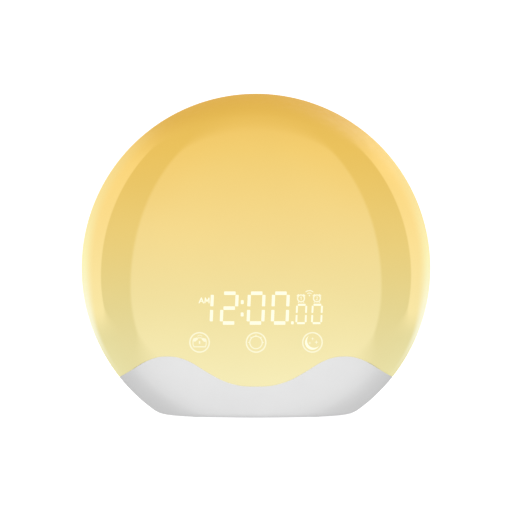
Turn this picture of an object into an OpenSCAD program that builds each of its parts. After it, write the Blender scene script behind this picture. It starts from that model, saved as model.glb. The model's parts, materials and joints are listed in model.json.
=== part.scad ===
// Sunrise alarm clock: a round lamp with a cut-off base, a display behind its
// translucent front, a speaker and push buttons in its back.
// Millimetres. X to the right, Y to the back, Z up. The origin is under the
// middle of the clock, on the surface that its feet stand on.

/* [Body] */
// Radius of the round body
body_r = 100; // [98:0.5:102]
// Height of the body's centre above the flat underside
centre_h = 83; // [82:0.5:84]
// Thickness of the shells
wall = 2.4; // [2:0.1:2.6]
// Height of the feet below the underside
foot_h = 1.2; // [1:0.1:1.5]
// Gap between neighbouring shells
shell_gap = 0.15; // [0.1:0.05:0.3]

/* [Buttons] */
// Radius of a push button
cap_r = 4; // [3.5:0.1:4.2]
// Height of the row of buttons above the table
cap_z = 75; // [74:0.5:76]
// Distance between neighbouring buttons
cap_pitch = 13; // [12.5:0.1:13]
// How far a button stands out of the back
cap_out = 1.5; // [1:0.1:1.5]

/* [Speaker] */
// Height of the speaker's centre above the table
spk_z = 118; // [116:0.5:119]
// Radius of one hole of the speaker grille
grille_hole_r = 1.25; // [1:0.05:1.4]
// Number of rings of holes in the grille
grille_rings = 4; // [3:1:4]

/* [Display] */
// Height of a large digit
digit_h = 18.6; // [18:0.1:19]
// Width of a large digit
digit_w = 10.3; // [9.5:0.1:10.5]
// Height of the digits' lower edge above the table
digit_z = 53.7; // [53:0.1:54.5]
// Slant of the digits in degrees
digit_slant = 2.5; // [0:0.5:4]

/* [Battery] */
// Radius of the backup coin cell
cell_r = 10; // [9.8:0.1:10]
// Thickness of the backup coin cell
cell_h = 3.2; // [2.5:0.1:3.2]

/* [Hidden] */
$fn = 64;

zb = foot_h;                 // underside of the body
zc = foot_h + centre_h;      // centre of the round body
zf = zb + 2.5;               // top of the floor
y_front = -48;               // foremost point
y_mid = 6;                   // plane of the widest ring
y_seam = 12;                 // joint of the front shells and the rear housing
y_back = 46.5;               // flat back
y_in = 44;                   // inside of the back wall
cap_x = [for (i = [0 : 5]) (i - 2.5) * cap_pitch];
post_x = [-26, 0, 26];
well = [[-45, 37], [45, 37], [-45, -37], [45, -37]];
base_screw = [[-46.6, -11.6], [46.6, -11.6], [-46.6, 24.6], [46.6, 24.6]];
foot_at = [[-32, -8], [32, -8], [-32, 24], [32, 24]];
key_x = [-31.3, 0, 31.3];
key_z = 44.2;
key_y = [-42.4, -43.6, -42.4];  // front of each touch pad, just behind the shell
jack = [24, 42];
board_x = [-40, 42.6];          // screws of the display board
arm_x = [-41.8, 43];           // screws of the display bracket

// ---------- profiles of the body, as [radius, y] ----------
function dome(r) = let(u = r / body_r, s = max(0, (r - 0.8 * body_r) / (0.2 * body_r)))
    y_front + 9 * pow(u, 2) + 15 * pow(u, 6) + 30 * (1 - sqrt(max(0, 1 - s * s)));
function back(r) = let(s = min(1, max(0, (r - 0.62 * body_r) / (0.38 * body_r))))
    y_back - 32.5 * (1 - sqrt(1 - s * s));
radii = concat([for (i = [0 : 7]) i * body_r / 10],
               [for (j = [0 : 12]) body_r * (0.8 + 0.2 * sin(7.5 * j))]);
front_out = [for (r = radii) [r, dome(r)]];
front_in = [for (r = radii) [r * (body_r - wall) / body_r, dome(r) + wall * (1 - pow(r / body_r, 4))]];
back_out = concat([[0, y_back]], [for (a = [0 : 7.5 : 90]) [body_r * (0.62 + 0.38 * sin(a)), y_back - 32.5 * (1 - cos(a))]]);
back_in = concat([[0, y_in]], [for (a = [0 : 7.5 : 90]) [60 + (body_r - wall - 60) * sin(a), y_in - 30 * (1 - cos(a))]]);
function rev_list(v) = [for (i = [len(v) - 1 : -1 : 0]) v[i]];

// Outline of the underside, as [x, y], scaled about [0, 2]
foot_r = concat([for (i = [0 : 6]) centre_h + (0.97 * body_r - centre_h) * i / 6], [0.985 * body_r, 0.995 * body_r]);
half_foot = concat([for (r = foot_r) [sqrt(r * r - centre_h * centre_h), dome(r)]],
                   [[sqrt(body_r * body_r - centre_h * centre_h), 8]],
                   rev_list([for (r = foot_r) [sqrt(r * r - centre_h * centre_h), back(r)]]));
function outline(sx, sy) = concat(
    [for (p = half_foot) [p[0] * sx, 2 + (p[1] - 2) * sy]],
    [for (p = rev_list(half_foot)) if (p[0] > 0.01) [-p[0] * sx, 2 + (p[1] - 2) * sy]]);

// ---------- the wave between the white cover and the lamp ----------
wave_pts = [[-9, 19.4], [0, 18.9], [9, 19.4], [18, 22], [27, 26.8], [36, 32.3], [43, 34.9], [49, 35.5],
            [55, 34.9], [62, 32.2], [70, 27.2], [78, 22.2], [86, 17.2], [94, 12.2]];
function cr(a, b, c, d, t) = 0.5 * (2 * b + (c - a) * t + (2 * a - 5 * b + 4 * c - d) * t * t + (3 * b - a - 3 * c + d) * t * t * t);
function smooth_path(p, n) = [for (i = [1 : len(p) - 3]) for (k = [0 : n - 1]) cr(p[i - 1], p[i], p[i + 1], p[i + 2], k / n)];
half_wave = smooth_path(wave_pts, 3);
function wave_line(dz) = concat(rev_list([for (p = half_wave) if (p[0] > 0.01) [-p[0], p[1] + dz]]), [for (p = half_wave) [p[0], p[1] + dz]]);
module above_wave() along_y(-60, 20) polygon(concat([[-120, 17 + shell_gap]], wave_line(shell_gap), [[120, 17 + shell_gap], [120, 200], [-120, 200]]));
module below_wave() along_y(-60, 20) polygon(concat([[-120, 17]], wave_line(0), [[120, 17], [120, -10], [-120, -10]]));

// ---------- helpers ----------
module along_y(y0, y1) translate([0, y1, 0]) rotate([90, 0, 0]) linear_extrude(height = y1 - y0) children();
module turned(z = zc) translate([0, 0, z]) rotate([-90, 0, 0]) rotate_extrude($fn = 120) children();
module rod(x, z, y0, y1, r) translate([x, y0, z]) rotate([-90, 0, 0]) cylinder(r = r, h = y1 - y0);
module cone_rod(x, z, y0, y1, r0, r1) translate([x, y0, z]) rotate([-90, 0, 0]) cylinder(r1 = r0, r2 = r1, h = y1 - y0);
module block(a, b) translate(a) cube(b - a);
module over(z) translate([-150, -100, z]) cube([300, 200, 300]);
module screw(x, z, y_seat, y_tip, head, head_r, shank_r) {
    d = y_tip > y_seat ? 1 : -1;
    union() {
        rod(x, z, min(y_seat, y_seat - d * head), max(y_seat, y_seat - d * head), head_r);
        rod(x, z, min(y_seat - d * 0.05, y_tip), max(y_seat - d * 0.05, y_tip), shank_r);
    }
}

// Tube of radius r along the points p, none of whose directions is along up
function unit(v) = v / norm(v);
function tangent(p, i) = unit(p[min(i + 1, len(p) - 1)] - p[max(i - 1, 0)]);
module tube(p, r, up = [1, 0, 0], n = 8) {
    rings = [for (i = [0 : len(p) - 1]) let(t = tangent(p, i), a = unit(cross(t, up)), b = cross(t, a))
             for (k = [0 : n - 1]) p[i] + r * (cos(360 * k / n) * a + sin(360 * k / n) * b)];
    m = len(p);
    polyhedron(points = rings, faces = concat(
        [[for (k = [0 : n - 1]) k]],
        [[for (k = [n - 1 : -1 : 0]) (m - 1) * n + k]],
        [for (i = [0 : m - 2]) for (k = [0 : n - 1]) let(k2 = (k + 1) % n) [i * n + k, (i + 1) * n + k, (i + 1) * n + k2]],
        [for (i = [0 : m - 2]) for (k = [0 : n - 1]) let(k2 = (k + 1) % n) [i * n + k, (i + 1) * n + k2, i * n + k2]]));
}
function ends(p) = concat([2 * p[0] - p[1]], p, [2 * p[len(p) - 1] - p[len(p) - 2]]);
function wire_path(p, n = 4) = concat(smooth_path(ends(p), n), [p[len(p) - 1]]);

// ---------- shells ----------
module front_solid() turned() polygon(concat(front_out, [[body_r, y_seam], [0, y_seam]]));
module front_hollow() turned() polygon(concat(front_in, [[body_r - wall, y_seam + 1], [0, y_seam + 1]]));
module back_solid() turned() polygon(concat(back_out, [[body_r, y_seam], [0, y_seam]]));
module back_hollow() turned() polygon(concat(back_in, [[body_r - wall, y_seam - 1], [0, y_seam - 1]]));
module base_hole(g) translate([0, 0, zb - 1]) linear_extrude(height = zf - zb + 2) polygon(outline(0.86 + g, 0.84 + g));
module base_screw_hole(p) {
    translate([p[0], p[1], zb - 1]) cylinder(r = 2.2, h = 2);
    translate([p[0], p[1], zb]) cylinder(r = 1.15, h = 4);
}
module tongue() turned() polygon([[body_r - wall - 1.6, 7], [body_r - wall + 0.1, 7], [body_r - wall + 0.1, y_seam], [body_r - wall - 0.3, y_seam], [body_r - wall - 0.3, 14.8], [body_r - wall - 1.6, 14.8]]);

module front_diffuser() color([0.98, 0.86, 0.55]) union() {
    intersection() {
        difference() { front_solid(); front_hollow(); }
        above_wave();
    }
    intersection() { tongue(); above_wave(); }
}

module wave_cover() color([0.9, 0.9, 0.9]) intersection() {
    difference() {
        union() {
            difference() {
                front_solid();
                intersection() { front_hollow(); over(zf); }
            }
            intersection() { tongue(); over(zf + 1); }
        }
        base_hole(0.004);
        base_screw_hole(base_screw[0]);
        base_screw_hole(base_screw[1]);
    }
    below_wave();
    over(zb);
}

module rear_housing() color([0.93, 0.93, 0.92]) difference() {
    union() {
        intersection() {
            difference() {
                back_solid();
                intersection() { back_hollow(); over(zf); }
            }
            over(zb);
        }
        for (w = well) rod(w[0], zc + w[1], 22, 45, 4.8);
        for (x = post_x) rod(x, cap_z - 6.2, 35, 44.5, 2.5);
        for (a = [45 : 90 : 315]) rod(22 * cos(a), spk_z + 22 * sin(a), 42.4, 44.5, 2.6);
    }
    base_hole(0.004);
    base_screw_hole(base_screw[2]);
    base_screw_hole(base_screw[3]);
    for (w = well) {
        rod(w[0], zc + w[1], 24.5, 50, 3.4);
        rod(w[0], zc + w[1], 20, 26, 1.6);
    }
    for (x = cap_x) rod(x, cap_z, 40, 50, cap_r + 0.2);
    for (x = post_x) rod(x, cap_z - 6.2, 34, 43, 0.9);
    for (a = [45 : 90 : 315]) rod(22 * cos(a), spk_z + 22 * sin(a), 42, 45.6, 0.85);
    rod(0, spk_z, 40, 50, grille_hole_r);
    for (k = [1 : grille_rings]) for (i = [0 : 6 * k - 1])
        rod(4 * k * cos(60 * i / k + 15 * k), spk_z + 4 * k * sin(60 * i / k + 15 * k), 40, 50, grille_hole_r);
    rod(jack[0], jack[1], 40, 50, 5.1);
    block([-36, y_back - 0.3, 34], [10, 50, 52]);
}

module base_plate() color([0.86, 0.86, 0.86]) difference() {
    union() {
        translate([0, 0, zb]) linear_extrude(height = zf - zb) polygon(outline(0.86, 0.84));
        translate([0, 0, zf]) linear_extrude(height = 2) polygon(outline(0.95, 0.94));
        for (p = base_screw) translate([p[0], p[1], zf]) cylinder(r = 2.6, h = 5);
        block([-17, -13, zb + 1], [17, 21, zb + 7.8]);
    }
    for (p = base_screw) translate([p[0], p[1], zf - 1]) cylinder(r = 0.95, h = 5);
    for (p = foot_at) translate([p[0], p[1], zb - 1]) cylinder(r = 5.15, h = 1.8);
    block([-13.2, -11.2, zb - 1], [13.2, 19.2, zb + 2]);
    translate([0, 4, zb]) cylinder(r = cell_r + 0.3, h = 6.2);
    translate([0, 19, zb - 3]) cylinder(r = 5, h = 4);
    for (s = [-1, 1]) translate([s > 0 ? 12 : -14.6, -9.5, zb + 1]) rotate([0, 90, 0]) cylinder(r = 0.68, h = 2.6);
    block([-1.5, 11.4, zb], [1.5, 12.7, zb + 9]);
    block([-11.6, 3, zb + 2.4], [-9.8, 5, zb + 9]);
}

// ---------- light ----------
module light_chassis() color([0.97, 0.97, 0.95]) difference() {
    union() {
        intersection() {
            turned() polygon([[0, -2], [66, -2], [87, -20], [89.6, -20], [68, 0], [0, 0]]);
            over(33);
        }
        for (w = well) rod(w[0], zc + w[1], -0.5, 22, 4);
        for (x = [-36, 36], z = [40, 88]) rod(x, z, -0.5, 6, 3);
        for (a = [45 : 90 : 315]) rod(30 * cos(a), 92 + 30 * sin(a), -4, -1, 3);
    }
    for (w = well) rod(w[0], zc + w[1], 8, 23, 1.3);
    for (x = [-36, 36], z = [40, 88]) rod(x, z, 0.5, 7, 0.9);
    for (a = [45 : 90 : 315]) rod(30 * cos(a), 92 + 30 * sin(a), -5, -0.5, 0.9);
    for (x = arm_x) rod(x, 46, -3, -0.5, 0.9);
    block([-7, -3, 34.2], [7, 1, 37.6]);
    rod(0, 60, -3, 1, 4);
}

module led_board() color([0.95, 0.95, 0.93]) difference() {
    rod(0, 92, -5.6, -4, 54);
    for (a = [45 : 90 : 315]) rod(30 * cos(a), 92 + 30 * sin(a), -7, -3, 1.1);
}
module smd(x, z) block([x - 2.5, -7.2, z - 2.5], [x + 2.5, -5.6, z + 2.5]);
module warm_leds() color([1, 0.8, 0.4]) {
    for (a = [0 : 60 : 300]) smd(15 * cos(a), 92 + 15 * sin(a));
    for (a = [15 : 30 : 345]) smd(45 * cos(a), 92 + 45 * sin(a));
}
module colour_leds() color([0.9, 0.9, 0.95])
    for (a = [22.5 : 45 : 337.5]) smd(30 * cos(a), 92 + 30 * sin(a));
module led_board_screws() color([0.7, 0.7, 0.72])
    for (a = [45 : 90 : 315]) screw(30 * cos(a), 92 + 30 * sin(a), -5.6, -1, 1.3, 2.1, 0.85);

// ---------- display ----------
module display_bracket() color([0.95, 0.95, 0.95]) difference() {
    union() {
        block([-46, -34, 36], [48, -32.4, 78]);
        for (x = board_x, z = [38.5, 75.5]) rod(x, z, -33, -30.5, 2.4);
        block([-46, -34, 40], [-44, -2, 52]);
        block([46, -34, 40], [48, -2, 52]);
        block([-46, -4, 40], [-39, -2, 52]);
        block([40, -4, 40], [48, -2, 52]);
    }
    block([-36, -35, 43], [38, -30, 73]);
    for (x = board_x, z = [38.5, 75.5]) rod(x, z, -35, -31, 0.85);
    for (x = arm_x) rod(x, 46, -5, -1, 1.1);
}
module display_board() color([0.08, 0.28, 0.16]) difference() {
    block([-43, -35.6, 36.5], [45, -34, 77.5]);
    for (x = board_x, z = [38.5, 75.5]) rod(x, z, -37, -33, 1);
}
// One stroke of a digit: a bar of length l and width t with pointed ends, along +X
module stroke(l, t) polygon([[0, 0], [t / 2, t / 2], [l - t / 2, t / 2], [l, 0], [l - t / 2, -t / 2], [t / 2, -t / 2]]);
module digit(x, z, w, h, t) {
    g = 0.15;
    u = w - t;
    v = (h - t) / 2;
    s = sin(digit_slant);
    translate([x + t / 2, z + t / 2]) {
        for (k = [0 : 2]) translate([g + k * v * s, k * v]) stroke(u - 2 * g, t);
        for (k = [0 : 1], m = [0 : 1]) translate([m * u + k * v * s + g * s, k * v + g]) rotate(90 - digit_slant) stroke(v - 2 * g, t);
    }
}
module segments_2d() {
    for (x = [-28.8, -20.2, -5.3, 8.0]) digit(x, digit_z, digit_w, digit_h, 1.9);
    for (x = [21.9, 30.3]) digit(x, digit_z, 6.4, 11.5, 1.1);
    for (z = [59.6, 66.4]) translate([-7.5, z]) circle(r = 0.95);
    translate([20.2, 54.7]) circle(r = 0.8);
}
module display_block() color([0.12, 0.12, 0.13]) difference() {
    block([-36, -42, 51], [40.5, -35.6, 75.2]);
    along_y(-43, -40.8) segments_2d();
}
module display_segments() color([1, 0.98, 0.9]) along_y(-42, -40.8) segments_2d();
module display_film() color([0.85, 0.83, 0.75]) block([-35, -42.3, 52], [39.5, -42, 74.4]);
module display_screws() color([0.7, 0.7, 0.72]) {
    for (x = board_x, z = [38.5, 75.5]) screw(x, z, -35.6, -31.5, 1.2, 1.8, 0.8);
    for (x = arm_x) screw(x, 46, -4, -0.8, 1.2, 2, 0.85);
}
// Coil between a touch pad behind the front shell and its pad on the board
module touch_spring(x, y) {
    turns = 30;
    tube([for (i = [0 : turns]) [x + 3.4 * cos(36 * i), -36 + (y + 36.45) * i / turns, key_z + 3.4 * sin(36 * i)]], 0.3, [0, 1, 0], 6);
    rod(x, key_z, y, y + 0.5, 4.2);
    rod(x, key_z, -36, -35.6, 3.9);
}
module touch_springs() color([0.8, 0.78, 0.7]) for (i = [0 : 2]) touch_spring(key_x[i], key_y[i]);

// ---------- main electronics ----------
module main_board() color([0.05, 0.3, 0.18]) difference() {
    block([-40, 6, 36], [40, 7.6, 92]);
    for (x = [-36, 36], z = [40, 88]) rod(x, z, 5, 9, 1.2);
}
module board_chips() color([0.1, 0.1, 0.11]) {
    block([-22, 7.6, 62], [-8, 9.2, 76]);
    block([2, 7.6, 66], [7, 9.1, 70]);
    block([2, 7.6, 58], [7, 9.1, 62]);
    block([14, 7.6, 44], [20, 9.4, 52]);
    block([-34, 7.6, 50], [-29, 9.1, 54]);
    block([-20, 7.6, 48], [-12, 9.4, 54]);
}
module wifi_module() color([0.75, 0.76, 0.78]) union() {
    block([12, 7.6, 62], [30, 8.4, 86]);
    block([13, 8.3, 62.8], [29, 10.8, 79]);
}
module board_capacitors() color([0.15, 0.18, 0.3]) {
    for (p = [[-26, 42], [-14, 42], [30, 48]]) rod(p[0], p[1], 7.6, 18.6, 4);
    for (p = [[-4, 84], [-32, 62]]) rod(p[0], p[1], 7.6, 14.6, 2.5);
}
module board_connectors() color([0.95, 0.93, 0.85]) {
    block([-7, 3.5, 38], [7, 6, 42.2]);
    block([-6, 3, 57], [6, 6, 63]);
    block([-24, 7.6, 82], [-14, 13.6, 88]);
    block([-32, 7.6, 70], [-24.5, 12.6, 80]);
    block([2, 7.6, 42], [12, 13.6, 48]);
    block([4, 7.6, 76], [10, 13.6, 84]);
}
module main_board_screws() color([0.7, 0.7, 0.72])
    for (x = [-36, 36], z = [40, 88]) screw(x, z, 7.6, 1, 1.4, 2.2, 0.85);

// Flat cable of width x0 to x1 along the points p, as [y, z]
module ribbon(x0, x1, p, t = 0.3) {
    n = len(p);
    function nrm(i) = let(d = p[min(i + 1, n - 1)] - p[max(i - 1, 0)]) [-d[1], d[0]] / norm(d);
    translate([x0, 0, 0]) rotate([90, 0, 90]) linear_extrude(height = x1 - x0)
        polygon(concat([for (i = [0 : n - 1]) p[i] + nrm(i) * t / 2], [for (i = [n - 1 : -1 : 0]) p[i] - nrm(i) * t / 2]));
}
module ribbon_cables() color([0.92, 0.92, 0.9]) {
    ribbon(-5, 5, wire_path([[-33.95, 45.6], [-31, 45], [-27.5, 41], [-21, 37.5], [-10, 36], [0, 36], [3.2, 36.3], [4.7, 37.88]]));
    ribbon(-31, -25.5, wire_path([[33.35, 74], [29, 73.7], [22, 74.4], [16, 75], [12.65, 75]]));
}
module led_wires() color([0.8, 0.15, 0.1]) for (x = [-2.4, -0.8, 0.8, 2.4]) rod(x, 60, -4, 3, 0.6);
// Wire from a to b, each along Y or Z where it meets its terminal, through the points p
function wire(a, p, b) = concat([a], wire_path(p), [b]);
module speaker_wires() color([0.15, 0.15, 0.16]) for (s = [0, 1])
    tube(wire([8 + 4 * s, 36.2, 102.6],
              [[8 + 4 * s, 35.6, 102.6], [8 + 3.7 * s, 31, 102], [7.6 + 3 * s, 24, 97], [6.9 + 2.2 * s, 18.5, 87], [6.2 + 1.6 * s, 16, 81.6], [6.2 + 1.6 * s, 14.2, 81]],
              [6.2 + 1.6 * s, 13.6, 81]), 0.6);
module power_wires() color([0.75, 0.1, 0.1]) {
    for (s = [0, 1]) tube(wire([jack[0] - 2 + 4 * s, 27.4, jack[1]],
                               [[jack[0] - 2 + 4 * s, 26.8, jack[1]], [jack[0] - 3 + 3.6 * s, 23, jack[1] - 0.6], [14 + 3.4 * s, 19.5, 42.6], [7 + 3 * s, 17, 44.6], [5.5 + 3 * s, 14.3, 45]],
                               [5.5 + 3 * s, 13.6, 45]), 0.7);
    tube(wire([0, 12, zb + 10], [[0, 12, zb + 10.6], [0.5, 13.5, 17], [1.5, 16, 26], [3.4, 18.5, 36], [5.2, 17, 42.6], [5.2, 14.3, 43.3]], [5.2, 13.6, 43.3]), 0.5);
    tube(wire([-10.45, 4, zb + 10], [[-10.45, 4, zb + 10.6], [-9, 6, 15], [-5, 14, 26], [0, 19, 36], [3.4, 17, 42.6], [3.4, 14.3, 43.3]], [3.4, 13.6, 43.3]), 0.5);
}

// ---------- speaker ----------
module speaker_frame() color([0.2, 0.2, 0.21]) difference() {
    union() {
        turned(spk_z) polygon([[8.4, 32], [10.4, 32], [10.4, 33], [18.6, 41], [20, 41], [20, 42.4], [17.7, 42.4], [17.7, 41.6], [9.6, 33.2], [8.4, 33.2]]);
        for (a = [45 : 90 : 315]) rod(22 * cos(a), spk_z + 22 * sin(a), 41, 42.4, 2.6);
        block([6, 36.2, spk_z - 17], [14, 37.6, spk_z - 12]);
    }
    turned(spk_z) polygon([[0, 30], [8.4, 30], [8.4, 33.2], [9.6, 33.2], [17.7, 41.6], [17.7, 44], [0, 44]]);
    for (a = [45 : 90 : 315]) rod(22 * cos(a), spk_z + 22 * sin(a), 40, 44, 1.1);
    for (a = [0 : 90 : 270]) translate([0, 37, spk_z]) rotate([0, a, 0]) translate([0, 0, 14]) cube([9, 4, 14], center = true);
}
module speaker_magnet() color([0.35, 0.35, 0.37]) turned(spk_z)
    polygon([[0, 23], [11, 23], [11, 24.6], [12, 24.6], [12, 29.6], [10.6, 29.6], [10.6, 32], [3.9, 32], [3.9, 29.6], [5.4, 29.6], [5.4, 25], [2.6, 25], [2.6, 32], [0, 32]]);
module speaker_cone() color([0.12, 0.12, 0.12]) turned(spk_z)
    polygon([[2.95, 27.5], [3.4, 27.5], [3.4, 35.2], [15, 40.6], [15, 41.2], [14.6, 41.2], [4.4, 36.5], [3.6, 37.3], [2.2, 37.9], [0, 38.2], [0, 37.6], [2, 37.3], [2.95, 36.8]]);
module speaker_surround() color([0.08, 0.08, 0.08]) turned(spk_z)
    polygon([[15.02, 40.8], [15.3, 41.8], [16, 42.5], [16.8, 42.4], [17.4, 41.9], [17.68, 41.7], [17.68, 42.1], [17.2, 42.7], [16.4, 43.1], [15.6, 42.8], [15.02, 41.9]]);
module speaker_spider() color([0.75, 0.6, 0.35]) turned(spk_z)
    polygon([[3.42, 33.3], [4.6, 33.9], [5.8, 33.3], [7, 33.9], [8.5, 33.2], [9.4, 33.2], [9.4, 33.5], [8.6, 33.5], [7, 34.2], [5.8, 33.6], [4.6, 34.2], [3.42, 33.6]]);
module speaker_gasket() color([0.15, 0.15, 0.15]) turned(spk_z) polygon([[17.9, 42.4], [19.3, 42.4], [19.3, y_in], [17.9, y_in]]);
module grille_cloth() color([0.1, 0.1, 0.1]) rod(0, spk_z, 43.7, y_in, 17.7);
module speaker_screws() color([0.7, 0.7, 0.72])
    for (a = [45 : 90 : 315]) screw(22 * cos(a), spk_z + 22 * sin(a), 41, 45.4, 1.3, 2, 0.8);

// ---------- buttons ----------
module button_board() color([0.05, 0.3, 0.18]) difference() {
    block([-40, 33.4, 65.5], [40, 35, 80]);
    for (x = post_x) rod(x, cap_z - 6.2, 32, 36, 1.1);
}
module switch_bodies() color([0.12, 0.12, 0.12]) for (x = cap_x) difference() {
    block([x - 3, 35, cap_z - 3], [x + 3, 38.5, cap_z + 3]);
    rod(x, cap_z, 36, 40, 1.85);
}
module button_board_screws() color([0.7, 0.7, 0.72]) for (x = post_x) screw(x, cap_z - 6.2, 33.4, 42, 1.3, 2, 0.85);
module cap(i) union() {
    rod(cap_x[i], cap_z, 43.5, y_back + cap_out - 0.5, cap_r);
    cone_rod(cap_x[i], cap_z, y_back + cap_out - 0.5, y_back + cap_out, cap_r, cap_r - 0.5);
    rod(cap_x[i], cap_z, 42.6, 43.9, cap_r + 1);
    rod(cap_x[i], cap_z, 40.4, 42.6, 2);
}
module plunger(i) rod(cap_x[i], cap_z, 36.8, 40.4, 1.75);
module alarm1_button() color([0.96, 0.96, 0.95]) cap(0);
module alarm2_button() color([0.96, 0.96, 0.95]) cap(1);
module clock_button() color([0.96, 0.96, 0.95]) cap(2);
module volume_down_button() color([0.96, 0.96, 0.95]) cap(3);
module volume_up_button() color([0.96, 0.96, 0.95]) cap(4);
module sound_button() color([0.96, 0.96, 0.95]) cap(5);
module alarm1_plunger() color([0.85, 0.3, 0.2]) plunger(0);
module alarm2_plunger() color([0.85, 0.3, 0.2]) plunger(1);
module clock_plunger() color([0.85, 0.3, 0.2]) plunger(2);
module volume_down_plunger() color([0.85, 0.3, 0.2]) plunger(3);
module volume_up_plunger() color([0.85, 0.3, 0.2]) plunger(4);
module sound_plunger() color([0.85, 0.3, 0.2]) plunger(5);

// ---------- power inlet ----------
module dc_jack() color([0.08, 0.08, 0.08]) difference() {
    union() {
        rod(jack[0], jack[1], y_back, y_back + 1, 6.4);
        rod(jack[0], jack[1], 30, y_back, 5);
        for (s = [-1, 1]) block([jack[0] + 2 * s - 0.8, 27.4, jack[1] - 0.3], [jack[0] + 2 * s + 0.8, 30.5, jack[1] + 0.3]);
    }
    rod(jack[0], jack[1], 37, 50, 2.85);
    rod(jack[0], jack[1], 35, 38, 1);
}
module dc_jack_pin() color([0.8, 0.8, 0.82]) rod(jack[0], jack[1], 35, 46, 1);
module dc_jack_nut() color([0.75, 0.75, 0.77]) translate([jack[0], 41, jack[1]]) rotate([-90, 0, 0]) difference() {
    cylinder(r = 7.6, h = 3, $fn = 6);
    translate([0, 0, -1]) cylinder(r = 5.05, h = 6);
}

// ---------- backup battery ----------
module coin_cell() color([0.8, 0.8, 0.82]) translate([0, 4, zb + 2.1]) union() {
    cylinder(r = cell_r, h = cell_h - 0.3);
    cylinder(r = cell_r - 1.2, h = cell_h);
}
module battery_contact_top() color([0.85, 0.75, 0.4]) union() {
    block([-3, -2, zb + 5.7], [3, 12.1, zb + 6.2]);
    translate([0, 4, zb + 2.1 + cell_h]) cylinder(r = 1.5, h = 6 - 2.1 - cell_h);
    block([-1, 11.8, zb + 5.7], [1, 12.2, zb + 10]);
}
module battery_contact_side() color([0.85, 0.75, 0.4]) union() {
    block([-10.6, 3.2, zb + 2.6], [-10.3, 4.8, zb + 10]);
    block([-10.6, 3.2, zb + 4.2], [-10.02, 4.8, zb + 4.6]);
}
module battery_door() color([0.86, 0.86, 0.86]) union() {
    block([-13, -9.5, zb], [13, 19, zb + 1.8]);
    translate([-13, -9.5, zb + 1]) rotate([0, 90, 0]) cylinder(r = 0.95, h = 26);
    translate([-14.3, -9.5, zb + 1]) rotate([0, 90, 0]) cylinder(r = 0.6, h = 28.6);
}

// ---------- feet and case screws ----------
module rubber_feet() color([0.6, 0.6, 0.59]) for (p = foot_at) translate([p[0], p[1], 0]) union() {
    cylinder(r1 = 4.6, r2 = 5, h = 0.4);
    translate([0, 0, 0.4]) cylinder(r = 5, h = zb + 0.4);
}
module housing_screws() color([0.6, 0.6, 0.62]) for (w = well) difference() {
    screw(w[0], zc + w[1], 24.5, 10, 2.2, 2.8, 1.25);
    block([w[0] - 0.35, 25.9, zc + w[1] - 1.8], [w[0] + 0.35, 28, zc + w[1] + 1.8]);
    block([w[0] - 1.8, 25.9, zc + w[1] - 0.35], [w[0] + 1.8, 28, zc + w[1] + 0.35]);
}
module base_screws() color([0.6, 0.6, 0.62]) for (p = base_screw) translate([p[0], p[1], 0]) union() {
    translate([0, 0, zb]) cylinder(r = 2, h = 0.95);
    translate([0, 0, zb + 0.9]) cylinder(r = 0.9, h = 5.2);
}

front_diffuser();
wave_cover();
rear_housing();
base_plate();
light_chassis();
led_board();
warm_leds();
colour_leds();
led_board_screws();
display_bracket();
display_board();
display_block();
display_segments();
display_film();
display_screws();
touch_springs();
main_board();
board_chips();
wifi_module();
board_capacitors();
board_connectors();
main_board_screws();
ribbon_cables();
led_wires();
speaker_frame();
speaker_magnet();
speaker_cone();
speaker_surround();
speaker_spider();
speaker_gasket();
grille_cloth();
speaker_screws();
speaker_wires();
button_board();
switch_bodies();
button_board_screws();
alarm1_button();
alarm2_button();
clock_button();
volume_down_button();
volume_up_button();
sound_button();
alarm1_plunger();
alarm2_plunger();
clock_plunger();
volume_down_plunger();
volume_up_plunger();
sound_plunger();
dc_jack();
dc_jack_pin();
dc_jack_nut();
power_wires();
coin_cell();
battery_contact_top();
battery_contact_side();
battery_door();
rubber_feet();
housing_screws();
base_screws();
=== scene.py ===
import json
import math

import bmesh
import bpy
import numpy as np
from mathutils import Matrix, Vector
from mathutils.geometry import delaunay_2d_cdt


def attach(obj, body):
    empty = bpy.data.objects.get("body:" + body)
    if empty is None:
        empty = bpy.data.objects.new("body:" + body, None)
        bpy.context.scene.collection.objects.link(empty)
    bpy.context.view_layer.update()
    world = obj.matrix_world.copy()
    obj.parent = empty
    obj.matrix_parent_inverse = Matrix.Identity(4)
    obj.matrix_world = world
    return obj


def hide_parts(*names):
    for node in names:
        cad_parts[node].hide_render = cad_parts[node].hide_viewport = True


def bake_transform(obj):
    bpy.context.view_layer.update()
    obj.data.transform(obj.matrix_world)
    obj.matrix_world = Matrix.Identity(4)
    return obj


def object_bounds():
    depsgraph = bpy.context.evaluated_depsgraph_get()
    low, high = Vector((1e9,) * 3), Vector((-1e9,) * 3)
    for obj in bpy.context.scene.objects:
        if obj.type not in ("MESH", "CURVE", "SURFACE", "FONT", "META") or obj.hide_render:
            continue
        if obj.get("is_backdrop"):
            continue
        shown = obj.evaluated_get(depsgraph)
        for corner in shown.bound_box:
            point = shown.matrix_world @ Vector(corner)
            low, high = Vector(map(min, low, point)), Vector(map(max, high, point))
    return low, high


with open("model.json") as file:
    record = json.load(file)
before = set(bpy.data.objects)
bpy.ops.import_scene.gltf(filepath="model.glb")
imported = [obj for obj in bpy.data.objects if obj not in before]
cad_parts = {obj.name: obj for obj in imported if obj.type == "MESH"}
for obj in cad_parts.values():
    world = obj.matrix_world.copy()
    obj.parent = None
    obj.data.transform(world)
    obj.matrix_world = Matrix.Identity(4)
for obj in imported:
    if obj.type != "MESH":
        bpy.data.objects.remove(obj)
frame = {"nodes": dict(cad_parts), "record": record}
CAD_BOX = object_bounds()
MM = 0.001

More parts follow.
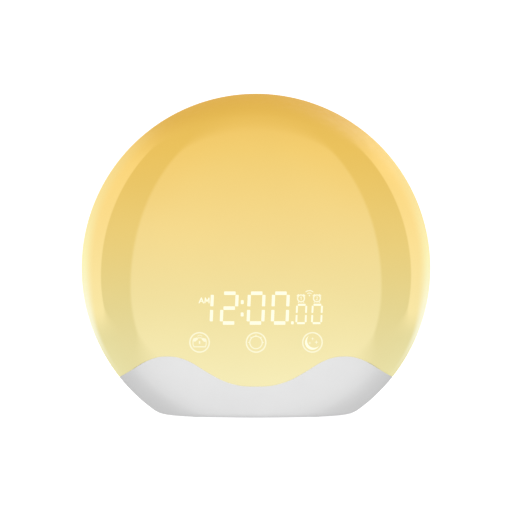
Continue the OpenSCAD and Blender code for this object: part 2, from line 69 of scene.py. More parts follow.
# ---------------------------------------------------------------- form
# Everything here is in millimetres, in the CAD's own frame.
R = 100.0        # round body
ZC = 84.2        # its centre
ZB = 1.2         # flat underside
Z0 = 3.7         # where the rounding into the underside starts
Y_FRONT, Y_MID, Y_SEAM, Y_BACK = -48.0, 6.0, 12.0, 46.5
R_FLAT = 64.0    # flat part of the back
SEAM_GAP = 0.2   # half the groove between front and back, before its chamfers


def smoothstep(a, b, v):
    t = np.clip((v - a) / (b - a), 0.0, 1.0)
    return t * t * (3 - 2 * t)


def ramp(d, w):
    """0 well below d = 0, d well above it, rounded over about w."""
    return 0.5 * (d + np.sqrt(d * d + w * w))


# The two egg-shaped creases of the front: half width, centre, reach up, reach down
EGGS = ((70.0, 74.0, 95.0, 79.0), (86.6, 80.0, 96.0, 88.0))


def egg_distance(x, z, egg):
    a, zc, up, low = egg
    dz = z - zc
    b = np.where(dz > 0, up, low)
    rho = np.sqrt((x / a) ** 2 + (dz / b) ** 2) + 1e-9
    grad = np.sqrt((x / a**2) ** 2 + (dz / b**2) ** 2) / rho + 1e-9
    return (rho - 1.0) / grad


def soft_1(z):
    return 0.7 + 10.0 * smoothstep(144, 172, z) + 7.0 * smoothstep(52, 32, z)


def soft_2(z):
    return 0.7 + 9.0 * smoothstep(142, 170, z) + 7.0 * smoothstep(66, 44, z)


def front_raw(r, th):
    x, z = r * np.cos(th), ZC + r * np.sin(th)
    u = r / R
    s = np.clip((r - 86.0) / 14.0, 0.0, 1.0)
    lift = smoothstep(8, 44, z)      # the creases die out above the base
    g1 = 0.27 * lift * ramp(egg_distance(x, z, EGGS[0]), soft_1(z))
    g2 = 0.33 * lift * ramp(egg_distance(x, z, EGGS[1]), soft_2(z))
    return 9 * u**2 + 12 * u**6 + 20 * (1 - np.sqrt(np.maximum(0, 1 - s * s))) + g1 + g2


def front_y(r, th):
    """Depth of the front face at polar position r, th about its centre."""
    r = np.minimum(r, R)
    low = front_raw(r * 0, th)
    short = (Y_MID - Y_FRONT) - (front_raw(r * 0 + R, th) - low)
    s = np.clip((r - 80.0) / 20.0, 0.0, 1.0)
    return Y_FRONT + front_raw(r, th) - low + short * (1 - np.sqrt(np.maximum(0, 1 - s * s)))


def front_xz(x, z):
    return front_y(np.hypot(x, z - ZC), np.arctan2(z - ZC, x))


def back_y(r):
    s = np.clip((r - R_FLAT) / (R - R_FLAT), 0.0, 1.0)
    return Y_BACK - 32.5 * (1 - np.sqrt(np.maximum(0, 1 - s * s)))


# The wave between the lamp and the white cover, as x, z of a smooth line
WAVE = [(-9, 19.4), (0, 18.9), (9, 19.4), (18, 22), (27, 26.8), (36, 32.3), (43, 34.9), (49, 35.5),
        (55, 34.9), (62, 32.2), (70, 27.2), (78, 22.2), (86, 17.2), (94, 12.2)]


def catmull(p, n):
    out = []
    for i in range(1, len(p) - 2):
        a, b, c, d = (np.array(q, float) for q in p[i - 1:i + 3])
        for k in range(n):
            t = k / n
            out.append(0.5 * (2 * b + (c - a) * t + (2 * a - 5 * b + 4 * c - d) * t * t + (3 * b - a - 3 * c + d) * t**3))
    return np.array(out)


_wave = catmull(WAVE, 40)


def wave_z(x):
    return np.interp(np.abs(x), _wave[:, 0], _wave[:, 1])


def wave_gap(x, z):
    """Distance above the wave, measured square to it."""
    slope = (wave_z(np.abs(x) + 0.05) - wave_z(np.abs(x) - 0.05)) / 0.1
    return (z - wave_z(x)) / np.sqrt(1 + slope**2)


# ---------------------------------------------------------------- mesh tools
def fan(faces):
    return np.array([(f[0], f[i], f[i + 1]) for f in faces for i in range(1, len(f) - 1)])


def vertex_normals(v, faces):
    v = np.asarray(v, float)
    t = fan(faces)
    p = v[t]
    c = np.cross(p[:, 1] - p[:, 0], p[:, 2] - p[:, 0])
    c /= np.maximum(np.linalg.norm(c, axis=1, keepdims=True), 1e-12)
    n = np.zeros_like(v)
    for k in range(3):
        e1, e2 = p[:, (k + 1) % 3] - p[:, k], p[:, (k + 2) % 3] - p[:, k]
        m = np.linalg.norm(e1, axis=1) * np.linalg.norm(e2, axis=1)
        a = np.arccos(np.clip((e1 * e2).sum(axis=1) / np.maximum(m, 1e-12), -1, 1))
        np.add.at(n, t[:, k], c * a[:, None])
    return n / np.maximum(np.linalg.norm(n, axis=1, keepdims=True), 1e-12)


def boundary_loops(faces):
    seen = {(a, b) for f in faces for a, b in zip(f, f[1:] + f[:1])}
    nxt = {a: b for a, b in seen if (b, a) not in seen}
    loops = []
    while nxt:
        start = next(iter(nxt))
        loop, b = [start], nxt.pop(start)
        while b != start:
            loop.append(b)
            b = nxt.pop(b)
        loops.append(loop)
    return loops


def mesh_of(name, v, faces):
    me = bpy.data.meshes.new(name)
    me.from_pydata([(x * MM, y * MM, z * MM) for x, y, z in v], [], [list(map(int, f)) for f in faces])
    me.update()
    return me


def oriented(v, faces, probe):
    """The same faces, all wound alike and facing away from the probe point."""
    me = mesh_of("tmp", v, faces)
    bm = bmesh.new()
    bm.from_mesh(me)
    bmesh.ops.recalc_face_normals(bm, faces=bm.faces)
    c = Vector(probe) * MM
    s = sum((f.calc_center_median() - c).dot(f.normal) * f.calc_area() for f in bm.faces)
    out = [[q.index for q in f.verts] for f in bm.faces]
    bm.free()
    bpy.data.meshes.remove(me)
    return out if s > 0 else [f[::-1] for f in out]


def solid_object(name, v, faces, sharp=38):
    """A closed mesh as an object, wound outwards, smooth but for its real edges."""
    used = sorted({i for f in faces for i in f})
    m = {j: i for i, j in enumerate(used)}
    me = mesh_of(name, [v[j] for j in used], [[m[i] for i in f] for f in faces])
    bm = bmesh.new()
    bm.from_mesh(me)
    bmesh.ops.recalc_face_normals(bm, faces=bm.faces)
    if bm.calc_volume(signed=True) < 0:
        bmesh.ops.reverse_faces(bm, faces=bm.faces)
    bm.to_mesh(me)
    bm.free()
    ob = bpy.data.objects.new(name, me)
    bpy.context.scene.collection.objects.link(ob)
    me.polygons.foreach_set("use_smooth", [True] * len(me.polygons))
    me.set_sharp_from_angle(angle=math.radians(sharp))
    return ob


def wall_up(v, common, outer, inner, t, out, down, skip=(), fixed=None):
    """Gives an open surface a wall of thickness t. common + inner is the plain surface, whose copy makes the inside;
    common + outer is the outside, with its recesses. Open edges get a chamfer and a rim, but for those in skip.
    Returns the points, the faces and where each point's copy is."""
    v = [np.array(p, float) for p in v]
    plain = common + inner
    n = vertex_normals(np.array(v), plain)
    for i, d in (fixed or {}).items():
        n[i] = d
    loops = [lp for lp in boundary_loops(plain) if lp[0] not in skip]
    shift = {}
    faces = list(common) + list(outer)
    twin = {}
    rims = []
    for lp in loops:
        m = len(lp)
        ch = []
        for k in range(m):
            i = lp[k]
            ends = []
            for way in (-1, 1):        # the edge's direction, from points that aren't too close
                j = (k + way) % m
                while np.linalg.norm(v[lp[j]] - v[i]) < 0.12:
                    j = (j + way) % m
                ends.append(v[lp[j]])
            d1, d2 = v[i] - ends[0], ends[1] - v[i]
            o1 = np.cross(d1 / np.linalg.norm(d1), n[i])
            o2 = np.cross(d2 / np.linalg.norm(d2), n[i])
            o1 /= max(np.linalg.norm(o1), 1e-9)
            o2 /= max(np.linalg.norm(o2), 1e-9)
            o = o1 + o2
            o = o / max(np.linalg.norm(o), 1e-9)
            o = o / max(0.6, float(o @ o1))
            shift[i] = o * out
            ch.append(len(v))
            v.append(v[i] + o * out - n[i] * down)
        rims.append((lp, ch))
    for i in sorted({i for f in plain for i in f}):
        twin[i] = len(v)
        v.append(v[i] + shift.get(i, 0.0) - n[i] * t)
    faces += [[twin[i] for i in reversed(f)] for f in plain]
    for lp, ch in rims:
        m = len(lp)
        for k in range(m):
            k2 = (k + 1) % m
            faces.append([lp[k2], lp[k], ch[k], ch[k2]])
            faces.append([ch[k2], ch[k], twin[lp[k]], twin[lp[k2]]])
    return v, faces, twin


def planar(v, loops, axes, inside):
    """Triangles that fill the region marked by inside(a, b), between loops of points that already exist."""
    flat = [i for lp in loops for i in lp]
    pts = [Vector((float(v[i][axes[0]]), float(v[i][axes[1]]))) for i in flat]
    edges, o = [], 0
    for lp in loops:
        edges += [(o + k, o + (k + 1) % len(lp)) for k in range(len(lp))]
        o += len(lp)
    ov, _, faces, origin, _, _ = delaunay_2d_cdt(pts, edges, [], 0, 1e-5)
    ids = [flat[src[0]] for src in origin]
    out = []
    for t in faces:
        if inside(sum(ov[i].x for i in t) / len(t), sum(ov[i].y for i in t) / len(t)):
            out.append([ids[i] for i in t])
    return out


def in_polygon(poly):
    p = np.array(poly, float)
    q = np.roll(p, -1, axis=0)

    def test(x, y):
        c = (p[:, 1] > y) != (q[:, 1] > y)
        with np.errstate(divide="ignore", invalid="ignore"):
            xi = p[:, 0] + (y - p[:, 1]) / (q[:, 1] - p[:, 1]) * (q[:, 0] - p[:, 0])
        return int(np.sum(c & (x < xi))) % 2 == 1
    return test


def ladder(v, faces, rows, closed=True):
    """Quads between successive rows of points, which are given as lists of indices."""
    for a, b in zip(rows, rows[1:]):
        m = len(a)
        for k in range(m if closed else m - 1):
            k2 = (k + 1) % m
            faces.append([a[k], a[k2], b[k2], b[k]])


def add(v, pts):
    i = len(v)
    v.extend([tuple(float(c) for c in p) for p in pts])
    return list(range(i, len(v)))


def clip(v, faces, g, lift, up):
    """Keeps the part of a mesh where g >= 0, where g grows upwards (up = 1) or downwards (-1).
    Points near the line move onto it first; lift puts a point back on the surface."""
    v = np.array(v, float)
    val = g(v)
    nb = np.full(len(v), 1e9)
    for f in faces:
        for a, b in zip(f, f[1:] + f[:1]):
            if abs(val[a]) < 2 and abs(val[b]) < 2:
                d = np.linalg.norm(v[a] - v[b])
                if d > 1e-6:
                    nb[a] = min(nb[a], d)
                    nb[b] = min(nb[b], d)

    def settle(p):
        for _ in range(8):
            p = lift(p)
            e = g(p[None])[0]
            if abs(e) < 1e-6:
                break
            p[2] -= up * e
        return lift(p)

    for i in np.where((np.abs(val) < 0.3 * nb) & (nb < 1e8))[0]:
        v[i] = settle(v[i].copy())
        val[i] = 0.0
    pts = [tuple(p) for p in v]
    out, edge = [], {}
    for f in faces:
        s = val[f]
        if np.all(s >= 0):
            if np.any(s > 0):
                out.append(list(f))
            continue
        if np.all(s <= 0):
            continue
        poly = []
        for k in range(len(f)):
            a, b = f[k], f[(k + 1) % len(f)]
            if val[a] >= 0:
                poly.append(a)
            if val[a] * val[b] < 0:
                key = (min(a, b), max(a, b))
                if key not in edge:
                    t = val[a] / (val[a] - val[b])
                    edge[key] = len(pts)
                    pts.append(tuple(settle(v[a] + t * (v[b] - v[a]))))
                poly.append(edge[key])
        if len(poly) >= 3:
            out.append(poly)
    return pts, out


# ---------------------------------------------------------------- the round shells
TH_C = math.acos((ZC - Z0) / R)                 # half angle of the cut-off part
N_BOTTOM, N_TOP, N_RING = 140, 400, 110


def half_width(z):
    """Half the body's width at a height."""
    return np.sqrt(R * R - (ZC - z) ** 2)


# closer together at the ends of the cut, where the body turns into its side
th_bottom = np.arctan2(Z0 - ZC, half_width(Z0) * np.sin(np.linspace(-math.pi / 2, math.pi / 2, N_BOTTOM + 1)))
th_top = np.linspace(-math.pi / 2 + TH_C, 1.5 * math.pi - TH_C, N_TOP + 1)[1:-1]
TH = np.concatenate([th_bottom, th_top])         # a closed turn
NT = len(TH)
COS, SIN = np.cos(TH), np.sin(TH)
r_lim = np.where(np.arange(NT) <= N_BOTTOM, np.minimum(R, (ZC - Z0) / np.maximum(1e-9, -SIN)), R)
r_lim[0] = r_lim[N_BOTTOM] = R


def ring_radii():
    """Radius of each ring on each ray: closer together along the creases and round the rim."""
    out = np.zeros((N_RING + 1, NT))
    for k in range(NT):
        fine = np.linspace(0, min(86.0, r_lim[k]), 900)
        if r_lim[k] > 86:
            phi = math.asin(min(1.0, (r_lim[k] - 86) / 14))
            fine = np.concatenate([fine, 86 + 14 * np.sin(np.linspace(0, phi, 400)[1:])])
        y = front_y(fine, np.full_like(fine, TH[k]))
        s = np.hypot(np.diff(fine), np.diff(y))
        mid = 0.5 * (fine[1:] + fine[:-1])
        x, z = mid * math.cos(TH[k]), ZC + mid * math.sin(TH[k])
        dense = 1 + 5 * np.exp(-((egg_distance(x, z, EGGS[0]) / 3) ** 2)) + 5 * np.exp(-((egg_distance(x, z, EGGS[1]) / 3) ** 2))
        dense = dense * (0.45 + 0.55 * np.minimum(1, mid / 40))
        c = np.concatenate([[0], np.cumsum(s * dense)])
        out[:, k] = np.interp(np.linspace(0, c[-1], N_RING + 1), c, fine)
    out[-1] = r_lim
    return out


def on_front(p):
    """Puts a point of the front or its short cylinder back on the surface."""
    x, y, z = p
    r = math.hypot(x, z - ZC)
    if y > Y_MID - 1e-6 or r >= R:
        s = R / r
        return np.array([x * s, max(y, Y_MID), ZC + (z - ZC) * s])
    return np.array([x, float(front_xz(np.array(x), np.array(z))), z])


OPEN_COLS = list(range(N_BOTTOM, NT)) + [0]      # the rays that reach the full radius


def front_grid():
    rr = ring_radii()
    v = [(0.0, Y_FRONT, ZC)]
    rows = [add(v, zip(rr[j] * COS, front_y(rr[j], TH), ZC + rr[j] * SIN)) for j in range(1, N_RING + 1)]
    f = [[0, rows[0][k], rows[0][(k + 1) % NT]] for k in range(NT)]
    ladder(v, f, rows)
    strip = [[rows[-1][k] for k in OPEN_COLS]]
    for y in (7.5, 9.0, 10.5, Y_SEAM - SEAM_GAP):
        strip.append(add(v, [(R * COS[k], y, ZC + R * SIN[k]) for k in OPEN_COLS]))
    ladder(v, f, strip, closed=False)
    # the lower edge, from the left seam round the front to the right seam
    edge = [s[-1] for s in reversed(strip)] + rows[-1][1:N_BOTTOM] + [s[0] for s in strip]
    return v, f, edge


def base_rounding(edge_pts, back=False, steps=8):
    """Rows of points that round the body's lower edge into the underside."""
    p0 = np.array(edge_pts, float)
    u = np.clip(p0[:, 0] / half_width(Z0), -1, 1)
    side = p0[:, 1] < back_y(R) + 1e-6 if back else p0[:, 1] > Y_MID - 1e-6

    def face(r, th):
        return back_y(r) if back else front_y(r, th)

    def at(z):
        x = u * half_width(z)
        r, th = np.minimum(R, np.hypot(x, ZC - z)), np.arctan2(z - ZC, x)
        return np.stack([x, np.where(side, p0[:, 1], face(r, th)), z + 0 * x], axis=1), r, th

    # in front the underside rises a little towards its edge
    foot = ZB + (0.0 if back else 0.12) * smoothstep(2, 30, np.abs(p0[:, 0])) * (1 - smoothstep(-6, 9, p0[:, 1]))
    corner, r, th = at(foot)
    down = at(Z0 - 0.05)[0] - at(Z0)[0]
    down /= np.linalg.norm(down, axis=1, keepdims=True)
    slope = (face(r, th) - face(r - 0.01, th)) / 0.01
    sign = 1.0 if back else -1.0
    inward = np.stack([sign * slope * corner[:, 0] / r, -sign + 0 * r, 0 * r], axis=1)
    inward[side] = np.stack([-np.sign(u), 0 * u, 0 * u], axis=1)[side]
    inward /= np.linalg.norm(inward, axis=1, keepdims=True)
    length = np.linalg.norm(corner - p0, axis=1, keepdims=True)
    m = np.minimum(0.85 * length, 1.6)
    p3 = corner + inward * m
    p1, p2 = p0 + 0.6 * length * down, p3 - 0.6 * m * inward
    rows = []
    for i in range(1, steps + 1):
        t = i / steps
        rows.append((1 - t) ** 3 * p0 + 3 * (1 - t) ** 2 * t * p1 + 3 * (1 - t) * t * t * p2 + t**3 * p3)
    return rows


def base_outline():
    """The opening for the base plate, half of it from the front centre to the back centre, as x, y."""
    ch = 83.0

    def dome(r):
        u, s = r / R, max(0.0, (r - 80) / 20)
        return Y_FRONT + 9 * u**2 + 15 * u**6 + 30 * (1 - math.sqrt(max(0, 1 - s * s)))

    def rear(r):
        s = min(1.0, max(0.0, (r - 62) / 38))
        return Y_BACK - 32.5 * (1 - math.sqrt(1 - s * s))

    radii = [ch + 14 * i / 6 for i in range(7)] + [98.5, 99.5]
    half = [(math.sqrt(r * r - ch * ch), dome(r)) for r in radii] + [(math.sqrt(R * R - ch * ch), 8.0)]
    half += [(math.sqrt(r * r - ch * ch), rear(r)) for r in reversed(radii)]
    return [(x * 0.868, 2 + (y - 2) * 0.849) for x, y in half]


def base_opening(y_cut, front):
    """The opening's edge on one side of the seam, from right to left."""
    half = base_outline()
    xs = [p[1] for p in half]
    i = next(k for k in range(len(half) - 1) if xs[k] <= y_cut < xs[k + 1])
    t = (y_cut - xs[i]) / (xs[i + 1] - xs[i])
    at = (half[i][0] + t * (half[i + 1][0] - half[i][0]), y_cut)
    side = half[:i + 1] + [at] if front else [at] + half[i + 1:]
    if front:
        side = side[::-1]              # seam to front centre
    out = list(side)
    out += [(-x, y) for x, y in reversed(side) if x > 0.01]
    return out


def circle(cx, cy, r, n):
    return [(cx + r * math.cos(2 * math.pi * i / n), cy + r * math.sin(2 * math.pi * i / n)) for i in range(n)]


def underside(v, chain, y_cut, front, screws):
    """The flat under the shell: plain, and with the recesses that its screws sit in."""
    rim = add(v, [(x, y, ZB) for x, y in base_opening(y_cut, front)])
    loop = chain + rim
    inside = in_polygon([v[i][:2] for i in loop])
    plain = planar(v, [loop], (0, 1), inside)
    cups, rings = [], []
    for cx, cy in screws:
        rows = [add(v, [(x, y, ZB + d) for x, y in circle(cx, cy, r, 40)]) for r, d in ((2.32, 0), (2.2, 0.12), (2.2, 1.0))]
        ladder(v, cups, rows)
        cups.append(rows[-1])
        rings.append(rows[0])
    fancy = planar(v, [loop] + rings, (0, 1), lambda x, y: inside(x, y) and all(math.hypot(x - cx, y - cy) > 2.319 for cx, cy in screws))
    return plain, fancy + cups


def wave_normals(pts):
    """The face's own direction at the points along the wave, so that both shells' rims run side by side."""
    p = np.array(pts, float)
    r, th = np.hypot(p[:, 0], p[:, 2] - ZC), np.arctan2(p[:, 2] - ZC, p[:, 0])
    side = r > R - 1e-3
    near = np.where((np.abs(wave_gap(p[:, 0], p[:, 2])) < 0.6) & (side | (np.abs(p[:, 1] - front_y(r, th)) < 0.01)))[0]
    r, th, side = r[near], th[near], side[near]
    fr = (front_y(r, th) - front_y(r - 0.01, th)) / 0.01
    ft = (front_y(r, th + 1e-4) - front_y(r, th - 1e-4)) / 2e-4 / r
    n = np.stack([fr * np.cos(th) - ft * np.sin(th), -np.ones(len(near)), fr * np.sin(th) + ft * np.cos(th)], axis=1)
    n[side] = np.stack([np.cos(th), 0 * th, np.sin(th)], axis=1)[side]
    n /= np.linalg.norm(n, axis=1, keepdims=True)
    return dict(zip(near.tolist(), n))


def build_front():
    v, f, edge = front_grid()
    # lamp diffuser
    pts, faces = clip(v, f, lambda p: wave_gap(p[:, 0], p[:, 2]) - 0.13, on_front, 1)
    faces = oriented(pts, faces, (0, 20, ZC))
    pts, faces, _ = wall_up(pts, faces, [], [], 2.3, 0.06, 0.12, fixed=wave_normals(pts))
    lamp = solid_object("lamp_diffuser", pts, faces)
    # white cover
    pts, faces = clip(v, f, lambda p: -wave_gap(p[:, 0], p[:, 2]) - 0.13, on_front, -1)
    rows = [edge] + [add(pts, r) for r in base_rounding([pts[i] for i in edge])]
    ladder(pts, faces, rows, closed=False)
    plain, fancy = underside(pts, rows[-1], Y_SEAM - SEAM_GAP, True, ((46.6, -11.6), (-46.6, -11.6)))
    n = len(faces)
    both = oriented(pts, faces + plain, (0, 0, 45))
    pts, faces, _ = wall_up(pts, both[:n], fancy, both[n:], 2.2, 0.06, 0.12, fixed=wave_normals(pts))
    return lamp, solid_object("wave_cover_shell", pts, faces)


# ---------------------------------------------------------------- rear housing
CAP_X = [(i - 2.5) * 13.0 for i in range(6)]
CAP_Z = 75.0
SPK_Z = 118.0
JACK = (24.0, 42.0)
WELLS = [(sx * 45.0, ZC + sz * 37.0) for sx in (-1, 1) for sz in (-1, 1)]
POSTS = [(x, CAP_Z - 6.2) for x in (-26.0, 0.0, 26.0)]
SPK_POSTS = [(22 * math.cos(math.radians(a)), SPK_Z + 22 * math.sin(math.radians(a))) for a in (45, 135, 225, 315)]
LABEL = (-36.0, 34.0, 10.0, 52.0)
GRILLE = [(0.0, SPK_Z)] + [(4 * k * math.cos(math.radians(60 * i / k + 15 * k)), SPK_Z + 4 * k * math.sin(math.radians(60 * i / k + 15 * k)))
                           for k in range(1, 5) for i in range(6 * k)]


def round_rect(x0, z0, x1, z1, r, n=6):
    out = []
    for cx, cz, a0 in ((x1 - r, z0 + r, -90), (x1 - r, z1 - r, 0), (x0 + r, z1 - r, 90), (x0 + r, z0 + r, 180)):
        for i in range(n + 1):
            a = math.radians(a0 + 90 * i / n)
            out.append((cx + r * math.cos(a), cz + r * math.sin(a)))
    return out


def build_rear():
    v, f = [], []
    n_a = 34
    a_lim = np.arcsin(np.clip((r_lim - R_FLAT) / (R - R_FLAT), 0, 1))
    rows = []
    for j in range(n_a + 1):
        a = a_lim * (1 - j / n_a)
        r = R_FLAT + (R - R_FLAT) * np.sin(a)
        rows.append(add(v, zip(r * COS, Y_BACK - 32.5 * (1 - np.cos(a)), ZC + r * SIN)))
    ladder(v, f, rows)
    strip = [[rows[0][k] for k in OPEN_COLS]]
    for y in (13.1, Y_SEAM + SEAM_GAP):
        strip.append(add(v, [(R * COS[k], y, ZC + R * SIN[k]) for k in OPEN_COLS]))
    ladder(v, f, strip, closed=False)
    edge = [s[-1] for s in reversed(strip)] + rows[0][1:N_BOTTOM] + [s[0] for s in strip]
    under = [edge] + [add(v, r) for r in base_rounding([v[i] for i in edge], back=True)]
    ladder(v, f, under, closed=False)
    plain, fancy = underside(v, under[-1], Y_SEAM + SEAM_GAP, False, ((46.6, 24.6), (-46.6, 24.6)))
    n = len(f)
    both = oriented(v, f + plain, (0, 12, ZC))
    ring = rows[-1]
    pts, faces, twin = wall_up(v, both[:n], fancy, both[n:], 2.5, 0.1, 0.12, skip=set(ring), fixed={i: (0, 1, 0) for i in ring})
    pts = [tuple(p) for p in pts]
    # the flat back: openings through both faces, recesses in the outer one, bosses on the inner one
    out_loops, out_tests, in_loops, in_tests = [ring], [], [[twin[i] for i in ring]], []

    def disc(cx, cz, r):
        return lambda x, z: math.hypot(x - cx, z - cz) < r * 0.9995

    def levels(cx, cz, n, steps):
        rows = [add(pts, [(x, Y_BACK - d, z) for x, z in circle(cx, cz, r, n)]) for r, d in steps]
        ladder(pts, faces, rows)
        return rows

    def through(cx, cz, n, steps):
        rows = levels(cx, cz, n, steps + [(steps[-1][0], 2.5)])
        out_loops.append(rows[0])
        out_tests.append(disc(cx, cz, steps[0][0]))
        in_loops.append(rows[-1])
        in_tests.append(disc(cx, cz, steps[-1][0]))

    for cx, cz in GRILLE:
        through(cx, cz, 18, [(1.42, 0), (1.3, 0.06), (1.25, 0.2)])
    for x in CAP_X:
        through(x, CAP_Z, 56, [(5.35, 0), (5.1, 0.07), (4.85, 0.3), (4.55, 0.52), (4.3, 0.64), (4.2, 0.78)])
    through(JACK[0], JACK[1], 56, [(5.4, 0), (5.1, 0.3)])
    for cx, cz in WELLS:
        through(cx, cz, 48, [(3.75, 0), (3.52, 0.09), (3.4, 0.35), (3.4, 22.0), (1.6, 22.0), (1.6, 24.5), (4.8, 24.5)])
    for posts, r, deep, pilot, floor in ((POSTS, 2.5, 11.5, 0.9, 3.5), (SPK_POSTS, 2.6, 4.1, 0.85, 0.9)):
        for cx, cz in posts:
            rows = levels(cx, cz, 32, [(r, 2.5), (r, deep), (pilot, deep), (pilot, floor)])
            faces.append(rows[-1])
            in_loops.append(rows[0])
            in_tests.append(disc(cx, cz, r))
    x0, z0, x1, z1 = LABEL
    rows = [add(pts, [(x, Y_BACK - d, z) for x, z in round_rect(x0 + i, z0 + i, x1 - i, z1 - i, 2.2 - i)]) for i, d in ((0, 0), (0.12, 0.06), (0.32, 0.3))]
    ladder(pts, faces, rows)
    faces.append(rows[-1])
    out_loops.append(rows[0])
    out_tests.append(in_polygon(round_rect(x0, z0, x1, z1, 2.2)))
    for loops, tests in ((out_loops, out_tests), (in_loops, in_tests)):
        faces += planar(pts, loops, (0, 2), lambda x, z: math.hypot(x, z - ZC) < R_FLAT and not any(t(x, z) for t in tests))
    return solid_object("rear_shell", pts, faces)


lamp, cover = build_front()
rear = build_rear()
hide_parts("front_diffuser")
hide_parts("wave_cover")
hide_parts("rear_housing")
for ob, s in ((lamp, "lamp_diffuser"), (cover, "white_satin"), (rear, "white_matte")):
    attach(ob, "root")


# ---------------------------------------------------------------- the speaker's soft rings
SPEAKER_Z = 118.0


def soft_ring(name, profile, n=96):
    """A closed ring turned about the speaker's axis from (r, y) points."""
    m = len(profile)
    pts = [(r * math.cos(a), y, SPEAKER_Z + r * math.sin(a)) for a in (2 * math.pi * k / n for k in range(n)) for r, y in profile]
    faces = [[k * m + j, k * m + (j + 1) % m, (k + 1) % n * m + (j + 1) % m, (k + 1) % n * m + j] for k in range(n) for j in range(m)]
    ob = solid_object(name, pts, faces)
    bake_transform(ob)
    return ob


arc = [math.pi * k / 14 for k in range(15)]
roll = [(16.34 + 1.32 * math.cos(t), 42.0 + 0.8 * math.sin(t)) for t in arc] + [(15.02, 40.8), (15.3, 41.5)]
roll += [(16.34 + 0.98 * math.cos(t), 41.8 + 0.62 * math.sin(t)) for t in arc[::-1]] + [(17.45, 41.7), (17.66, 41.7)]
surround = soft_ring("cone_surround", roll)
wave = [(r, 33.3 + 0.3 * (1 - math.cos(2 * math.pi * (r - 3.42) / 2.44))) for r in (3.42 + 4.88 * k / 32 for k in range(33))]
low = wave + [(8.5, 33.21), (9.4, 33.21)]
spider = soft_ring("cone_spider", low + [(r, y + 0.29) for r, y in low[::-1]])
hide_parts("speaker_surround")
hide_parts("speaker_spider")


# ---------------------------------------------------------------- lit digits and symbols
def inlay(name, shapes, surface, proud=0.02, deep=0.12, step=1.4):
    """Thin closed pieces let into a face. shapes: (outline, holes) in x, z; where they overlap they join.
    surface(x, z) gives the face's depth; the piece lies from proud in front of it (or behind, if negative) to deep below."""
    pts, edges, tests = [], [], []
    for outline, holes in shapes:
        for lp in [outline] + list(holes):
            d = []
            for a, b in zip(lp, list(lp[1:]) + [lp[0]]):
                k = max(1, math.ceil(math.hypot(b[0] - a[0], b[1] - a[1]) / step))
                d += [(a[0] + (b[0] - a[0]) * i / k, a[1] + (b[1] - a[1]) * i / k) for i in range(k)]
            o = len(pts)
            pts += [Vector(q) for q in d]
            edges += [(o + k, o + (k + 1) % len(d)) for k in range(len(d))]
        a = np.array(outline)
        tests.append((a.min(axis=0), a.max(axis=0), in_polygon(outline), [in_polygon(h) for h in holes]))
    ov, _, tris, _, _, _ = delaunay_2d_cdt(pts, edges, [], 0, 1e-4)
    keep = []
    for t in tris:
        x, z = sum(ov[i].x for i in t) / len(t), sum(ov[i].y for i in t) / len(t)
        for lo, hi, inside, holes in tests:
            if lo[0] < x < hi[0] and lo[1] < z < hi[1] and inside(x, z) and not any(h(x, z) for h in holes):
                keep.append(list(t))
                break
    x, z = np.array([(q.x, q.y) for q in ov]).T
    y = surface(x, z)
    n = len(ov)
    v = list(zip(x, y - proud, z)) + list(zip(x, y + deep, z))
    seen = {(a, b) for f in keep for a, b in zip(f, f[1:] + f[:1])}
    faces = keep + [[i + n for i in reversed(f)] for f in keep]
    faces += [[b, a, a + n, b + n] for a, b in seen if (b, a) not in seen]
    return solid_object(name, v, faces, sharp=30)


def bar(cx, cz, length, width, angle, r=0.3):
    """A bar with rounded corners, centred at cx, cz, at an angle in degrees from +X."""
    a = math.radians(angle)
    ca, sa = math.cos(a), math.sin(a)
    return [(cx + x * ca - z * sa, cz + x * sa + z * ca) for x, z in round_rect(-length / 2, -width / 2, length / 2, width / 2, min(r, width / 2 - 0.01), 3)]


def slanted(x, z0, z, deg=2.5):
    return x + (z - z0) * math.tan(math.radians(deg))


SEGMENTS = {"0": "abcdef", "1": "bc", "2": "abged"}


def digit(ch, x, z, w, h, t, over):
    """Seven-segment digit with its lower left corner at x, z. over is how far flat bars reach above the upright ones' inner edges."""
    out = []
    half = (h - t) / 2
    hlen = w - 2 * t + 2 * over
    tv = 0.9 * t
    for key, dz in (("d", t / 2), ("g", h / 2), ("a", h - t / 2)):
        if key in SEGMENTS[ch]:
            out.append((bar(slanted(x + w / 2, z, z + dz), z + dz, hlen, t, 0), []))
    vlen = half - t * 0.12
    for key, dx, dz in (("e", t / 2, 0), ("c", w - t / 2, 0), ("f", t / 2, 1), ("b", w - t / 2, 1)):
        if key in SEGMENTS[ch]:
            c = z + h / 2 + (1 if dz else -1) * (half / 2 + t * 0.02)
            out.append((bar(slanted(x + dx, z, c), c, vlen - t * 0.85, tv, 87.5), []))
    return out


def ring_shape(cx, cz, r, t, n=56):
    return (circle(cx, cz, r, n), [circle(cx, cz, r - t, n)])


def arc_shape(cx, cz, r, t, a0, a1, n=14):
    pts = [(cx + (r + t / 2) * math.cos(math.radians(a0 + (a1 - a0) * i / n)), cz + (r + t / 2) * math.sin(math.radians(a0 + (a1 - a0) * i / n))) for i in range(n + 1)]
    pts += [(cx + (r - t / 2) * math.cos(math.radians(a1 - (a1 - a0) * i / n)), cz + (r - t / 2) * math.sin(math.radians(a1 - (a1 - a0) * i / n))) for i in range(n + 1)]
    return (pts, [])


def line_shape(x0, z0, x1, z1, t):
    return (bar((x0 + x1) / 2, (z0 + z1) / 2, math.hypot(x1 - x0, z1 - z0) + t, t, math.degrees(math.atan2(z1 - z0, x1 - x0)), t / 2), [])


